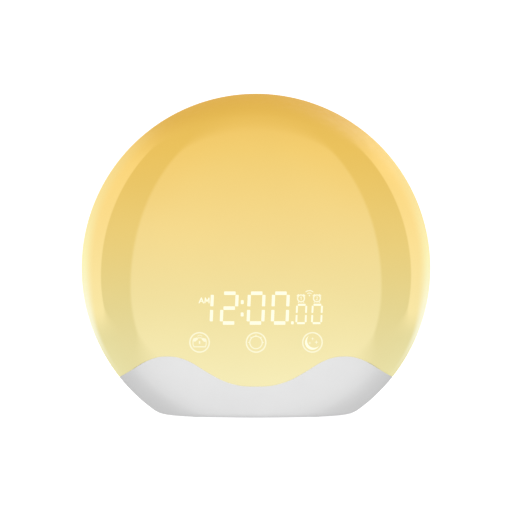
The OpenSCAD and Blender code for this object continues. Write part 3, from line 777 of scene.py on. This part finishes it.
def crescent(cx, cz, r, dx, dz, r2, n=40):
    """A disc less another disc."""
    d = math.hypot(dx, dz)
    a = math.atan2(dz, dx)
    b = math.acos((r * r + d * d - r2 * r2) / (2 * r * d))
    c = math.acos((r2 * r2 + d * d - r * r) / (2 * r2 * d))
    pts = [(cx + r * math.cos(a + b + (2 * math.pi - 2 * b) * i / n), cz + r * math.sin(a + b + (2 * math.pi - 2 * b) * i / n)) for i in range(n + 1)]
    ox, oz = cx + dx, cz + dz
    pts += [(ox + r2 * math.cos(a + math.pi + c - 2 * c * i / n), oz + r2 * math.sin(a + math.pi + c - 2 * c * i / n)) for i in range(1, n)]
    return (pts, [])


digits = []
digits += digit("1", -33.9, 53.2, 10.05, 18.4, 1.95, 0.1)
digits += digit("2", -20.2, 53.2, 10.05, 18.4, 1.95, 0.1)
digits += digit("0", -5.38, 53.2, 10.05, 18.4, 1.95, 0.1)
digits += digit("0", 8.0, 53.2, 10.05, 18.4, 1.95, 0.1)
digits += digit("0", 21.65, 53.5, 6.25, 11.3, 1.12, 0.15)
digits += digit("0", 30.3, 53.5, 6.25, 11.3, 1.12, 0.15)
for z in (58.9, 65.7):
    digits.append((bar(-7.65 + (z - 58.9) * 0.01, z, 2.2, 1.6, 89.5, 0.4), []))
digits.append((bar(20.1, 54.25, 1.7, 1.45, 90, 0.4), []))

marks = []
# AM, as bright as the digits
digits += [line_shape(-31.40, 65.30, -30.15, 68.00, 0.6), line_shape(-30.15, 68.00, -29.05, 65.30, 0.6), line_shape(-30.85, 66.15, -29.55, 66.15, 0.4)]
digits += [line_shape(-28.20, 65.30, -27.95, 68.00, 0.6), line_shape(-27.95, 68.00, -27.05, 66.05, 0.55), line_shape(-27.05, 66.05, -25.95, 68.00, 0.55), line_shape(-25.95, 68.00, -25.95, 65.30, 0.6)]
# two alarm symbols: a clock face with two bells, numbered
for cx, which in ((24.85, 1), (33.65, 2)):
    cz = 67.75
    marks.append(ring_shape(cx, cz, 2.25, 0.72))
    for s_ in (-1, 1):
        marks.append(arc_shape(cx, cz, 2.45, 0.75, 90 + s_ * 28, 90 + s_ * 62))
        marks.append(line_shape(cx + s_ * 1.25, cz - 1.9, cx + s_ * 1.55, cz - 2.3, 0.45))
    if which == 1:
        marks += [line_shape(cx + 0.08, cz - 0.75, cx + 0.08, cz + 0.85, 0.42), line_shape(cx + 0.05, cz + 0.82, cx - 0.35, cz + 0.5, 0.32)]
    else:
        marks += [arc_shape(cx, cz + 0.45, 0.42, 0.34, -20, 165), line_shape(cx + 0.38, cz + 0.3, cx - 0.42, cz - 0.75, 0.34), line_shape(cx - 0.42, cz - 0.78, cx + 0.5, cz - 0.78, 0.34)]
# wireless
for r, t in ((3.1, 0.55), (1.75, 0.5)):
    marks.append(arc_shape(29.5, 68.95, r, t, 48, 132))
marks.append((circle(29.5, 69.35, 0.45, 14), []))
mark_inlay = inlay("lit_marks", marks, front_xz, step=0.9)

touch = []
KEY_Z = 43.4
for x in (-31.2, 0.05, 31.2):
    touch.append(ring_shape(x, KEY_Z, 5.75, 0.74, 72))
# sunrise: two clouds over a bed of light
cx = -31.2
touch += [(circle(cx - 2.65, KEY_Z + 1.45, 1.05, 22), []), (circle(cx - 1.75, KEY_Z + 1.9, 0.8, 20), []),
          (circle(cx + 2.85, KEY_Z + 1.3, 1.0, 22), []), (circle(cx + 2.0, KEY_Z + 1.75, 0.75, 20), []),
          arc_shape(cx + 0.05, KEY_Z - 1.0, 3.55, 0.5, 52, 128), arc_shape(cx + 0.15, KEY_Z + 2.3, 1.65, 0.34, 38, 142),
          (bar(cx, KEY_Z, 1.7, 0.8, 90), [])]
touch += [line_shape(cx - 3.65, KEY_Z + 1.0, cx - 3.6, KEY_Z - 1.3, 0.5), line_shape(cx + 3.7, KEY_Z + 0.9, cx + 3.65, KEY_Z - 1.3, 0.5),
          line_shape(cx - 3.1, KEY_Z - 2.45, cx + 3.15, KEY_Z - 2.45, 0.6), line_shape(cx - 3.6, KEY_Z - 1.3, cx - 3.1, KEY_Z - 2.4, 0.5), line_shape(cx + 3.65, KEY_Z - 1.3, cx + 3.15, KEY_Z - 2.4, 0.5)]
# brightness: a sun with short rays
touch.append(ring_shape(0, KEY_Z, 3.75, 0.6, 56))
for a in (0, 45, 90, 135, 180):
    ca, sa = math.cos(math.radians(a)), math.sin(math.radians(a))
    touch.append(line_shape(3.5 * ca, KEY_Z + 3.5 * sa, 4.15 * ca, KEY_Z + 4.15 * sa, 0.5))
# night: a crescent, bright as the digits, and three stars
digits.append(crescent(31.2, KEY_Z, 4.1, 0.93, 0.93, 3.92))


def star(cx, cz, r, s=0.32, n=4):
    return ([(cx + (r if i % 2 == 0 else r * s) * math.cos(math.pi * i / n + math.pi / 2), cz + (r if i % 2 == 0 else r * s) * math.sin(math.pi * i / n + math.pi / 2)) for i in range(2 * n)], [])


touch += [star(31.3, KEY_Z + 2.0, 1.0), star(33.4, KEY_Z + 0.1, 1.2), star(29.75, KEY_Z - 0.35, 0.9)]
touch_inlay = inlay("lit_touch_symbols", touch, front_xz, step=0.9)
digit_inlay = inlay("lit_digits", digits, front_xz)

# faint line symbols over the knobs in the back, seen from behind, so x runs the other way
back_marks = []
MZ = 84.6


def mirrored(cx, shapes):
    return [([(cx - x, MZ + z) for x, z in o][::-1], [[(cx - x, MZ + z) for x, z in h] for h in hs]) for o, hs in shapes]


def bell(number):
    """A bell with its clapper and its number."""
    dome = [(-1.5 + 1.1 * math.cos(math.radians(a)), 0.4 + 1.3 * math.sin(math.radians(a))) for a in range(0, 181, 15)]
    body = [(0.1, -1.0), (-0.4, -0.4)] + dome + [(-2.6, -0.4), (-3.1, -1.0)]
    out = [(body, []), (circle(-1.5, -1.45, 0.36, 14), [])]
    if number == 1:
        out += [line_shape(1.9, -1.3, 1.9, 1.3, 0.36), line_shape(1.85, 1.25, 1.3, 0.85, 0.34)]
    else:
        out += [arc_shape(1.8, 0.65, 0.62, 0.34, -25, 165), line_shape(2.3, 0.35, 1.15, -1.3, 0.34), line_shape(1.15, -1.3, 2.5, -1.3, 0.34)]
    return out


note = [(circle(-0.7, -1.2, 0.72, 18), []), line_shape(-0.12, -1.1, -0.12, 1.6, 0.3), line_shape(-0.12, 1.55, 1.1, 0.95, 0.42), line_shape(1.1, 0.95, 1.0, 0.2, 0.3)]
clock_mark = [ring_shape(0, 0, 1.7, 0.32, 40), line_shape(0, 0, 0, 1.0, 0.3), line_shape(0, 0, 0.75, 0, 0.3)]
speaker_mark = [([(-2.2, -0.5), (-1.4, -0.5), (-0.5, -1.3), (-0.5, 1.3), (-1.4, 0.5), (-2.2, 0.5)], [])]
minus = speaker_mark + [line_shape(0.7, 0, 2.2, 0, 0.36)]
plus = speaker_mark + [line_shape(0.7, 0, 2.2, 0, 0.36), line_shape(1.45, -0.75, 1.45, 0.75, 0.36)]
for x, shapes in zip(CAP_X, (bell(1), bell(2), clock_mark, minus, plus, note)):
    back_marks += mirrored(x, shapes)
back_inlay = inlay("key_symbols", back_marks, lambda x, z: np.full_like(x, Y_BACK), proud=-0.015, deep=-0.1, step=2.0)

for ob, s_ in ((digit_inlay, "segments_lit"), (mark_inlay, "segments_lit"), (touch_inlay, "segments_lit"), (back_inlay, "chip_black")):
    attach(ob, "root")


# ---------------------------------------------------------------- materials
def lin(r, g, b):
    """sRGB 0-255 to linear."""
    def f(c):
        c /= 255.0
        return c / 12.92 if c <= 0.04045 else ((c + 0.055) / 1.055) ** 2.4
    return (f(r), f(g), f(b), 1.0)


class Nodes:
    """Short-hand for building a node tree."""

    def __init__(self, mat):
        mat.use_nodes = True
        self.t = mat.node_tree
        self.t.nodes.clear()

    def new(self, kind, **kw):
        n = self.t.nodes.new(kind)
        for k, v in kw.items():
            setattr(n, k, v)
        return n

    def link(self, a, b):
        self.t.links.new(a, b)

    def put(self, sock, v):
        if isinstance(v, (int, float)):
            sock.default_value = v
        elif isinstance(v, (tuple, list)):
            sock.default_value = v
        else:
            self.link(v, sock)

    def math(self, op, a, b=None, c=None, clamp=False):
        n = self.new("ShaderNodeMath", operation=op, use_clamp=clamp)
        self.put(n.inputs[0], a)
        if b is not None:
            self.put(n.inputs[1], b)
        if c is not None:
            self.put(n.inputs[2], c)
        return n.outputs[0]

    def map(self, v, a, b, c=0.0, d=1.0, kind="SMOOTHSTEP"):
        n = self.new("ShaderNodeMapRange", interpolation_type=kind)
        n.clamp = True if kind == "LINEAR" else n.clamp
        self.put(n.inputs["Value"], v)
        self.put(n.inputs["From Min"], a)
        self.put(n.inputs["From Max"], b)
        self.put(n.inputs["To Min"], c)
        self.put(n.inputs["To Max"], d)
        return n.outputs[0]

    def mix(self, fac, a, b, blend="MIX"):
        n = self.new("ShaderNodeMix", data_type="RGBA", blend_type=blend)
        self.put(n.inputs[0], fac)
        self.put(n.inputs[6], a)
        self.put(n.inputs[7], b)
        return n.outputs[2]

    def ramp(self, v, stops):
        n = self.new("ShaderNodeValToRGB")
        r = n.color_ramp
        while len(r.elements) > 1:
            r.elements.remove(r.elements[-1])
        r.elements[0].position, r.elements[0].color = stops[0]
        for pos, col in stops[1:]:
            e = r.elements.new(pos)
            e.color = col
        self.put(n.inputs[0], v)
        return n.outputs[0]

    def coords(self):
        """Object coordinates in millimetres."""
        tc = self.new("ShaderNodeTexCoord")
        s = self.new("ShaderNodeVectorMath", operation="SCALE")
        self.link(tc.outputs["Object"], s.inputs[0])
        s.inputs["Scale"].default_value = 1000.0
        return s.outputs[0]

    def split(self, v):
        n = self.new("ShaderNodeSeparateXYZ")
        self.link(v, n.inputs[0])
        return n.outputs

    def noise(self, vec, scale, detail=3.0, rough=0.5):
        n = self.new("ShaderNodeTexNoise")
        self.link(vec, n.inputs["Vector"])
        n.inputs["Scale"].default_value = scale
        n.inputs["Detail"].default_value = detail
        n.inputs["Roughness"].default_value = rough
        return n.outputs["Fac"]

    def bump(self, height, strength, distance):
        n = self.new("ShaderNodeBump")
        n.inputs["Strength"].default_value = strength
        n.inputs["Distance"].default_value = distance
        self.link(height, n.inputs["Height"])
        return n.outputs[0]

    def finish(self, base, rough, normal=None, **sock):
        b = self.new("ShaderNodeBsdfPrincipled")
        self.put(b.inputs["Base Color"], base)
        self.put(b.inputs["Roughness"], rough)
        if normal is not None:
            self.link(normal, b.inputs["Normal"])
        for k, v in sock.items():
            self.put(b.inputs[k.replace("_", " ")], v)
        o = self.new("ShaderNodeOutputMaterial")
        self.link(b.outputs[0], o.inputs[0])
        return b


MATS = {}


def material(name):
    m = bpy.data.materials.new(name)
    MATS[name] = m
    return m, Nodes(m)


def diffuser_material():
    m, n = material("opal_lit")
    vec = n.coords()
    x, y, z = n.split(vec)

    def dist(egg):
        a, zc, up, low = egg
        dz = n.math("SUBTRACT", z, zc)
        is_up = n.math("GREATER_THAN", dz, 0.0)
        b = n.math("MULTIPLY_ADD", is_up, up - low, low)
        xa, zb = n.math("DIVIDE", x, a), n.math("DIVIDE", dz, b)
        rho = n.math("SQRT", n.math("ADD", n.math("POWER", xa, 2.0), n.math("POWER", zb, 2.0)))
        xa2, zb2 = n.math("DIVIDE", xa, a), n.math("DIVIDE", zb, b)
        g = n.math("SQRT", n.math("ADD", n.math("POWER", xa2, 2.0), n.math("POWER", zb2, 2.0)))
        return n.math("DIVIDE", n.math("SUBTRACT", rho, 1.0), n.math("DIVIDE", g, rho))

    def zone(d, w):
        """0 inside, 1 outside, over a width w."""
        return n.map(n.math("DIVIDE", d, w), -1.0, 1.0)

    w1 = n.math("ADD", n.map(z, 147, 172, 1.1, 12.0), n.map(z, 30, 50, 9.0, 0.0))
    w2 = n.math("ADD", n.map(z, 147, 175, 0.5, 10.0), n.map(z, 44, 64, 9.0, 0.0))
    d1, d2 = n.math("ADD", dist(EGGS[0]), n.map(z, 148, 168, 0.5, 4.2)), dist(EGGS[1])
    m1, m2 = zone(d1, w1), zone(d2, w2)
    h = n.map(z, 0, 190, 0.0, 1.0, "LINEAR")
    at = lambda mm: mm / 190.0
    # amber at the top fading to pale yellow at the bottom
    glow_ = n.ramp(h, [(at(22), lin(248, 238, 184)), (at(62), lin(244, 228, 163)), (at(108), lin(246, 218, 140)), (at(150), lin(245, 208, 114)), (at(184), lin(240, 196, 96))])
    # painted shade and light: the band between the two creases is painted darker, and the flanks are painted lighter at
    # mid height and darker at the top and the bottom, standing in for the creases' shading
    band_painted_shade = n.mix(n.map(z, 36, 112), (0.88, 0.88, 0.81, 1.0), (0.92, 0.88, 0.69, 1.0))
    band_painted_shade = n.mix(n.map(z, 106, 134), band_painted_shade, (0.92, 0.868, 0.65, 1.0))
    flank_painted_light_and_shade = n.mix(n.map(z, 138, 172), (1.08, 1.06, 1.04, 1.0), (0.84, 0.75, 0.44, 1.0))
    flank_painted_light_and_shade = n.mix(n.map(z, 44, 62), (0.89, 0.905, 0.83, 1.0), flank_painted_light_and_shade)
    # painted shade: the panel darkens a little towards the inner crease near the top
    edge = n.math("MULTIPLY", n.map(d1, -24, 0, 0.0, 1.0), n.map(z, 104, 130, 0.0, 1.0))
    panel = n.mix(edge, (1.0, 1.0, 1.0, 1.0), (1.0, 0.98, 0.94, 1.0))
    painted_crease_shading = n.mix(m2, n.mix(m1, panel, band_painted_shade), flank_painted_light_and_shade)
    # the lamp's glow is multiplied by this painted crease shading
    col = n.mix(1.0, glow_, painted_crease_shading, "MULTIPLY")
    # painted highlight: the turned-back rim is painted brighter and paler, most of all on the way down
    rim = n.ramp(h, [(at(60), lin(254, 254, 226)), (at(90), lin(254, 250, 190)), (at(122), lin(252, 230, 155)), (at(150), lin(247, 214, 128))])
    zr = n.math("SUBTRACT", z, ZC)
    r = n.math("SQRT", n.math("ADD", n.math("MULTIPLY", x, x), n.math("MULTIPLY", zr, zr)))
    start = n.map(z, 34, 82, 95.6, 91.0)
    painted_rim_highlight = n.map(n.math("DIVIDE", n.math("SUBTRACT", r, start), n.math("SUBTRACT", 99.3, start)), 0.0, 1.0)
    painted_rim_highlight = n.math("MULTIPLY", painted_rim_highlight, n.map(z, 140, 170, 1.0, 0.0))
    # the painted highlight fades below and towards the seam
    painted_rim_highlight = n.math("MULTIPLY", painted_rim_highlight, n.map(n.math("SUBTRACT", z, n.map(y, -20, 4, 0.0, 12.0)), 16, 44, 0.0, 1.0))
    painted_rim_highlight = n.math("MULTIPLY", painted_rim_highlight, n.map(y, -16, 8, 1.0, 0.62))
    col = n.mix(painted_rim_highlight, col, rim)
    # light from inside is a little uneven
    cloud = n.map(n.noise(vec, 0.018, 2.0), 0.3, 0.7, 0.985, 1.01, "LINEAR")
    col_e = n.mix(1.0, col, cloud, "MULTIPLY")
    fine = n.noise(vec, 2.2, 4.0, 0.6)
    nor = n.bump(fine, 0.12, 0.00002)
    rough = n.map(n.noise(vec, 0.35, 3.0), 0.3, 0.7, 0.46, 0.56, "LINEAR")
    base = n.mix(1.0, col, (0.12, 0.12, 0.12, 1.0), "MULTIPLY")
    n.finish(base, rough, nor, Emission_Color=col_e, Emission_Strength=0.865, Specular_IOR_Level=0.04)
    return m


def plastic(name, rgb, rough=0.4, grain=1.6, bump=0.2, depth=0.00004, tint=0.03, **sock):
    m, n = material(name)
    vec = n.coords()
    fine = n.noise(vec, grain, 5.0, 0.65)
    broad = n.noise(vec, 0.05, 3.0)
    c1 = tuple(c * (1 - tint) for c in rgb[:3]) + (1.0,)
    c2 = tuple(min(1.0, c * (1 + tint)) for c in rgb[:3]) + (1.0,)
    col = n.mix(n.map(broad, 0.3, 0.7, 0, 1, "LINEAR"), c1, c2)
    r = n.map(n.noise(vec, 0.4, 3.0), 0.3, 0.7, rough - 0.05, rough + 0.05, "LINEAR")
    n.finish(col, r, n.bump(fine, bump, depth), **sock)
    return m


def metal(name, rgb, rough=0.3, stretch=(1, 1, 30), bump=0.15, **sock):
    m, n = material(name)
    vec = n.coords()
    mp = n.new("ShaderNodeMapping")
    n.link(vec, mp.inputs["Vector"])
    mp.inputs["Scale"].default_value = stretch
    grain = n.noise(mp.outputs[0], 1.2, 4.0)
    col = n.mix(n.map(grain, 0.3, 0.7, 0, 1, "LINEAR"), tuple(c * 0.9 for c in rgb) + (1.0,), tuple(min(1, c * 1.05) for c in rgb) + (1.0,))
    r = n.map(grain, 0.3, 0.7, rough - 0.07, rough + 0.08, "LINEAR")
    n.finish(col, r, n.bump(grain, bump, 0.00002), Metallic=1.0, **sock)
    return m


def cloth(name, rgb, pitch=0.9, rough=0.9):
    m, n = material(name)
    vec = n.coords()
    x, y, z = n.split(vec)
    wx = n.math("SINE", n.math("MULTIPLY", x, 2 * math.pi / pitch))
    wz = n.math("SINE", n.math("MULTIPLY", z, 2 * math.pi / pitch))
    weave = n.math("MULTIPLY", wx, wz)
    col = n.mix(n.map(weave, -1, 1, 0, 1, "LINEAR"), tuple(c * 0.6 for c in rgb) + (1.0,), tuple(c * 1.3 for c in rgb) + (1.0,))
    n.finish(col, rough, n.bump(weave, 0.6, 0.0001), Sheen_Weight=0.2)
    return m


def board(name, rgb):
    m, n = material(name)
    vec = n.coords()
    x, y, z = n.split(vec)
    v = n.new("ShaderNodeTexVoronoi", feature="DISTANCE_TO_EDGE")
    n.link(vec, v.inputs["Vector"])
    v.inputs["Scale"].default_value = 0.22
    trace = n.map(v.outputs["Distance"], 0.03, 0.05)
    light = tuple(min(1, c * 1.5 + 0.02) for c in rgb) + (1.0,)
    col = n.mix(trace, light, tuple(rgb) + (1.0,))
    fine = n.noise(vec, 1.5, 3.0)
    n.finish(col, n.map(fine, 0.3, 0.7, 0.3, 0.42, "LINEAR"), n.bump(trace, 0.3, 0.00005))
    return m


def glow(name, rgb, strength, base=0.6):
    m, n = material(name)
    vec = n.coords()
    cloud = n.map(n.noise(vec, 0.3, 2.0), 0.3, 0.7, 0.97, 1.0, "LINEAR")
    col = n.mix(1.0, rgb, cloud, "MULTIPLY")
    fine = n.noise(vec, 2.0, 3.0)
    n.finish(tuple(c * base for c in rgb[:3]) + (1.0,), n.map(fine, 0.3, 0.7, 0.3, 0.4, "LINEAR"), n.bump(fine, 0.05, 0.00002), Emission_Color=col, Emission_Strength=strength)
    return m


diffuser_material()
plastic("white_satin", (0.815, 0.815, 0.817), 0.36, 1.8, 0.12, 0.00003, 0.012)
plastic("white_matte", (0.80, 0.80, 0.79), 0.52, 1.3, 0.35, 0.00006, 0.015)
plastic("grey_matte", (0.62, 0.62, 0.63), 0.55, 1.3, 0.35, 0.00006, 0.02)
plastic("reflector_white", (0.88, 0.88, 0.86), 0.4, 1.0, 0.1, 0.00003, 0.02)
board("board_white", (0.82, 0.82, 0.78))
board("board_green", (0.02, 0.14, 0.06))
glow("led_warm", lin(255, 214, 130), 1.2)
plastic("led_colour", (0.75, 0.76, 0.8), 0.2, 1.0, 0.05, 0.00002, 0.03)
plastic("display_black", (0.02, 0.02, 0.022), 0.5, 1.4, 0.25, 0.00005, 0.1)
glow("segments_lit", lin(255, 253, 226), 0.93, 0.1)
glow("symbols_lit", lin(254, 250, 216), 0.885, 0.1)
plastic("display_film", (0.7, 0.66, 0.55), 0.3, 0.8, 0.1, 0.00002, 0.04)
metal("spring_steel", (0.6, 0.58, 0.52), 0.28)
plastic("chip_black", (0.018, 0.018, 0.02), 0.5, 2.0, 0.35, 0.00005, 0.1)
metal("shield_can", (0.62, 0.63, 0.64), 0.35, (1, 1, 12))
plastic("capacitor_sleeve", (0.015, 0.025, 0.09), 0.25, 0.8, 0.06, 0.00002, 0.08)
plastic("connector_cream", (0.74, 0.69, 0.55), 0.45, 1.2, 0.15, 0.00004, 0.04)
plastic("ribbon_white", (0.78, 0.78, 0.74), 0.3, 0.8, 0.1, 0.00003, 0.04)
plastic("wire_red", (0.42, 0.02, 0.015), 0.4, 1.0, 0.15, 0.00003, 0.08)
plastic("wire_black", (0.012, 0.012, 0.013), 0.42, 1.0, 0.15, 0.00003, 0.1)
plastic("steel_black", (0.015, 0.015, 0.016), 0.35, 1.4, 0.2, 0.00004, 0.1, Coat_Weight=0.3)
metal("ferrite", (0.14, 0.14, 0.15), 0.5, (1, 1, 1), 0.4)
plastic("paper_black", (0.02, 0.02, 0.021), 0.85, 0.9, 0.8, 0.0002, 0.15)
plastic("rubber_black", (0.012, 0.012, 0.012), 0.7, 1.2, 0.3, 0.00006, 0.12)
cloth("spider_cloth", (0.42, 0.24, 0.07), 0.7)
cloth("cloth_black", (0.012, 0.012, 0.013), 0.8)
metal("screw_zinc", (0.5, 0.5, 0.52), 0.32, (1, 30, 1))
plastic("button_white", (0.78, 0.78, 0.775), 0.42, 1.6, 0.15, 0.00003, 0.012)
plastic("plunger_red", (0.42, 0.04, 0.02), 0.4, 1.2, 0.15, 0.00003, 0.06)
plastic("jack_black", (0.014, 0.014, 0.015), 0.4, 1.3, 0.25, 0.00005, 0.1)
metal("plated", (0.68, 0.68, 0.7), 0.18, (1, 1, 6), 0.05)
metal("brass_contact", (0.72, 0.52, 0.2), 0.25, (1, 8, 1), 0.08)
plastic("rubber_grey", (0.56, 0.56, 0.555), 0.6, 1.4, 0.4, 0.00008, 0.03)
plastic("print_grey", (0.22, 0.22, 0.23), 0.5, 2.0, 0.1, 0.00002, 0.05)

lamp.data.materials.append(MATS["opal_lit"])
for ob, s_ in ((digit_inlay, "segments_lit"), (mark_inlay, "symbols_lit"), (touch_inlay, "symbols_lit"), (back_inlay, "print_grey")):
    ob.data.materials.append(MATS[s_])
cover.data.materials.append(MATS["white_satin"])
rear.data.materials.append(MATS["white_matte"])
surround.data.materials.append(MATS["rubber_black"])
spider.data.materials.append(MATS["spider_cloth"])
SLOT_OF = {s["node"]: s["material_slot"] for s in frame["record"]["subparts"]}
for node, ob in frame["nodes"].items():
    s = SLOT_OF[node]
    mat = MATS.get(s) or MATS["opal_lit"]
    ob.data.materials.clear()
    ob.data.materials.append(mat)
    ob.data.polygons.foreach_set("use_smooth", [True] * len(ob.data.polygons))
    ob.data.set_sharp_from_angle(angle=math.radians(35))

# ---------------------------------------------------------------- stage, light, camera
scene = bpy.context.scene
scene.view_settings.view_transform = "Standard"
scene.view_settings.look = "None"

# the camera: 1.4 m in front of the widest ring, a third of a degree up
EL = math.radians(0.3)
DIST = 1400.0
FOCAL = 2440.0                                     # in pixels
target = Vector((0, 6, 84.2)) * MM
cam_data = bpy.data.cameras.new("camera")
cam_data.sensor_fit = "HORIZONTAL"
cam_data.sensor_width = 36.0
cam_data.lens = FOCAL * 36.0 / 512.0
cam_data.clip_start, cam_data.clip_end = 0.05, 60.0
cam = bpy.data.objects.new("camera", cam_data)
scene.collection.objects.link(cam)
cam.location = target + Vector((0, -math.cos(EL), math.sin(EL))) * DIST * MM
up = math.atan(12.1 / FOCAL)                       # the lamp sits a little below the picture's middle
cam.rotation_euler = (math.pi / 2 - EL + up, 0, 0)
scene.camera = cam


def round_sweep():
    """A pale floor that curves up into a round backdrop. It isn't seen by bounced light, so it doesn't fill in the shading."""
    prof = [(0.0, 0.0), (0.25, 0.0), (0.6, 0.0), (1.2, 0.0), (2.4, 0.0), (4.0, 0.0)]
    prof += [(4.0 + 2.5 * math.sin(math.radians(a)), 2.5 * (1 - math.cos(math.radians(a)))) for a in range(5, 91, 5)]
    prof += [(6.5, 5.0), (6.5, 9.0)]
    n = 96
    verts = [(0.0, 0.0, 0.0)]
    for r, z in prof[1:]:
        verts += [(r * math.cos(2 * math.pi * k / n), r * math.sin(2 * math.pi * k / n), z) for k in range(n)]
    faces = [[0, 1 + k, 1 + (k + 1) % n] for k in range(n)]
    for j in range(len(prof) - 2):
        a, b = 1 + j * n, 1 + (j + 1) * n
        faces += [[a + k, b + k, b + (k + 1) % n, a + (k + 1) % n] for k in range(n)]
    me = bpy.data.meshes.new("floor")
    me.from_pydata(verts, [], faces)
    me.polygons.foreach_set("use_smooth", [True] * len(me.polygons))
    ob = bpy.data.objects.new("floor", me)
    scene.collection.objects.link(ob)
    m, n = material("pale_floor")
    vec = n.coords()
    c = n.map(n.noise(vec, 0.01, 2.0), 0.3, 0.7, 0.97, 1.0, "LINEAR")
    n.finish(n.mix(1.0, (0.6, 0.6, 0.6, 1), c, "MULTIPLY"), 0.85, None, Emission_Color=n.mix(1.0, (1, 1, 1, 1), c, "MULTIPLY"), Emission_Strength=0.86, Specular_IOR_Level=0.1)
    ob.data.materials.append(m)
    ob.visible_diffuse = False
    ob.visible_glossy = False
    ob.visible_shadow = False
    ob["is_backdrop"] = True
    return ob


round_sweep()

world = bpy.data.worlds.new("world")
scene.world = world
world.use_nodes = True
wt = world.node_tree
wt.nodes.clear()
wn = Nodes.__new__(Nodes)
wn.t = wt
wd = wn.split(wn.new("ShaderNodeTexCoord").outputs["Generated"])
# soft light, strongest from before, a little more from above
before = wn.math("POWER", wn.math("MAXIMUM", wn.math("MULTIPLY", wd[1], -1.0), 0.0), 1.4)
level = wn.math("ADD", wn.math("MULTIPLY", before, 0.27), wn.map(wd[2], -0.6, 0.8, 0.61, 0.65, "LINEAR"))
w_bg, w_out = wt.nodes.new("ShaderNodeBackground"), wt.nodes.new("ShaderNodeOutputWorld")
w_bg.inputs[0].default_value = (1.0, 1.0, 1.0, 1.0)
wt.links.new(level, w_bg.inputs[1])
wt.links.new(w_bg.outputs[0], w_out.inputs[0])


def area(name, loc, aim, size, power, size_y=None):
    d = bpy.data.lights.new(name, "AREA")
    d.energy = power
    d.size = size
    if size_y:
        d.shape = "RECTANGLE"
        d.size_y = size_y
    o = bpy.data.objects.new(name, d)
    scene.collection.objects.link(o)
    o.location = loc
    o.rotation_euler = (Vector(aim) - Vector(loc)).to_track_quat("-Z", "Y").to_euler()
    return o


area("key", (-0.4, -2.7, 1.3), (0, 0, 0.08), 2.0, 13)
area("fill", (0.6, -2.8, 0.9), (0, 0, 0.08), 2.0, 9)
area("back", (1.3, 2.0, 1.9), (0, 0, 0.08), 1.2, 26)

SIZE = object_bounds()
plain = lambda b: [[float(c) for c in p] for p in b]
{"cad": plain(CAD_BOX), "visual": plain(SIZE)}
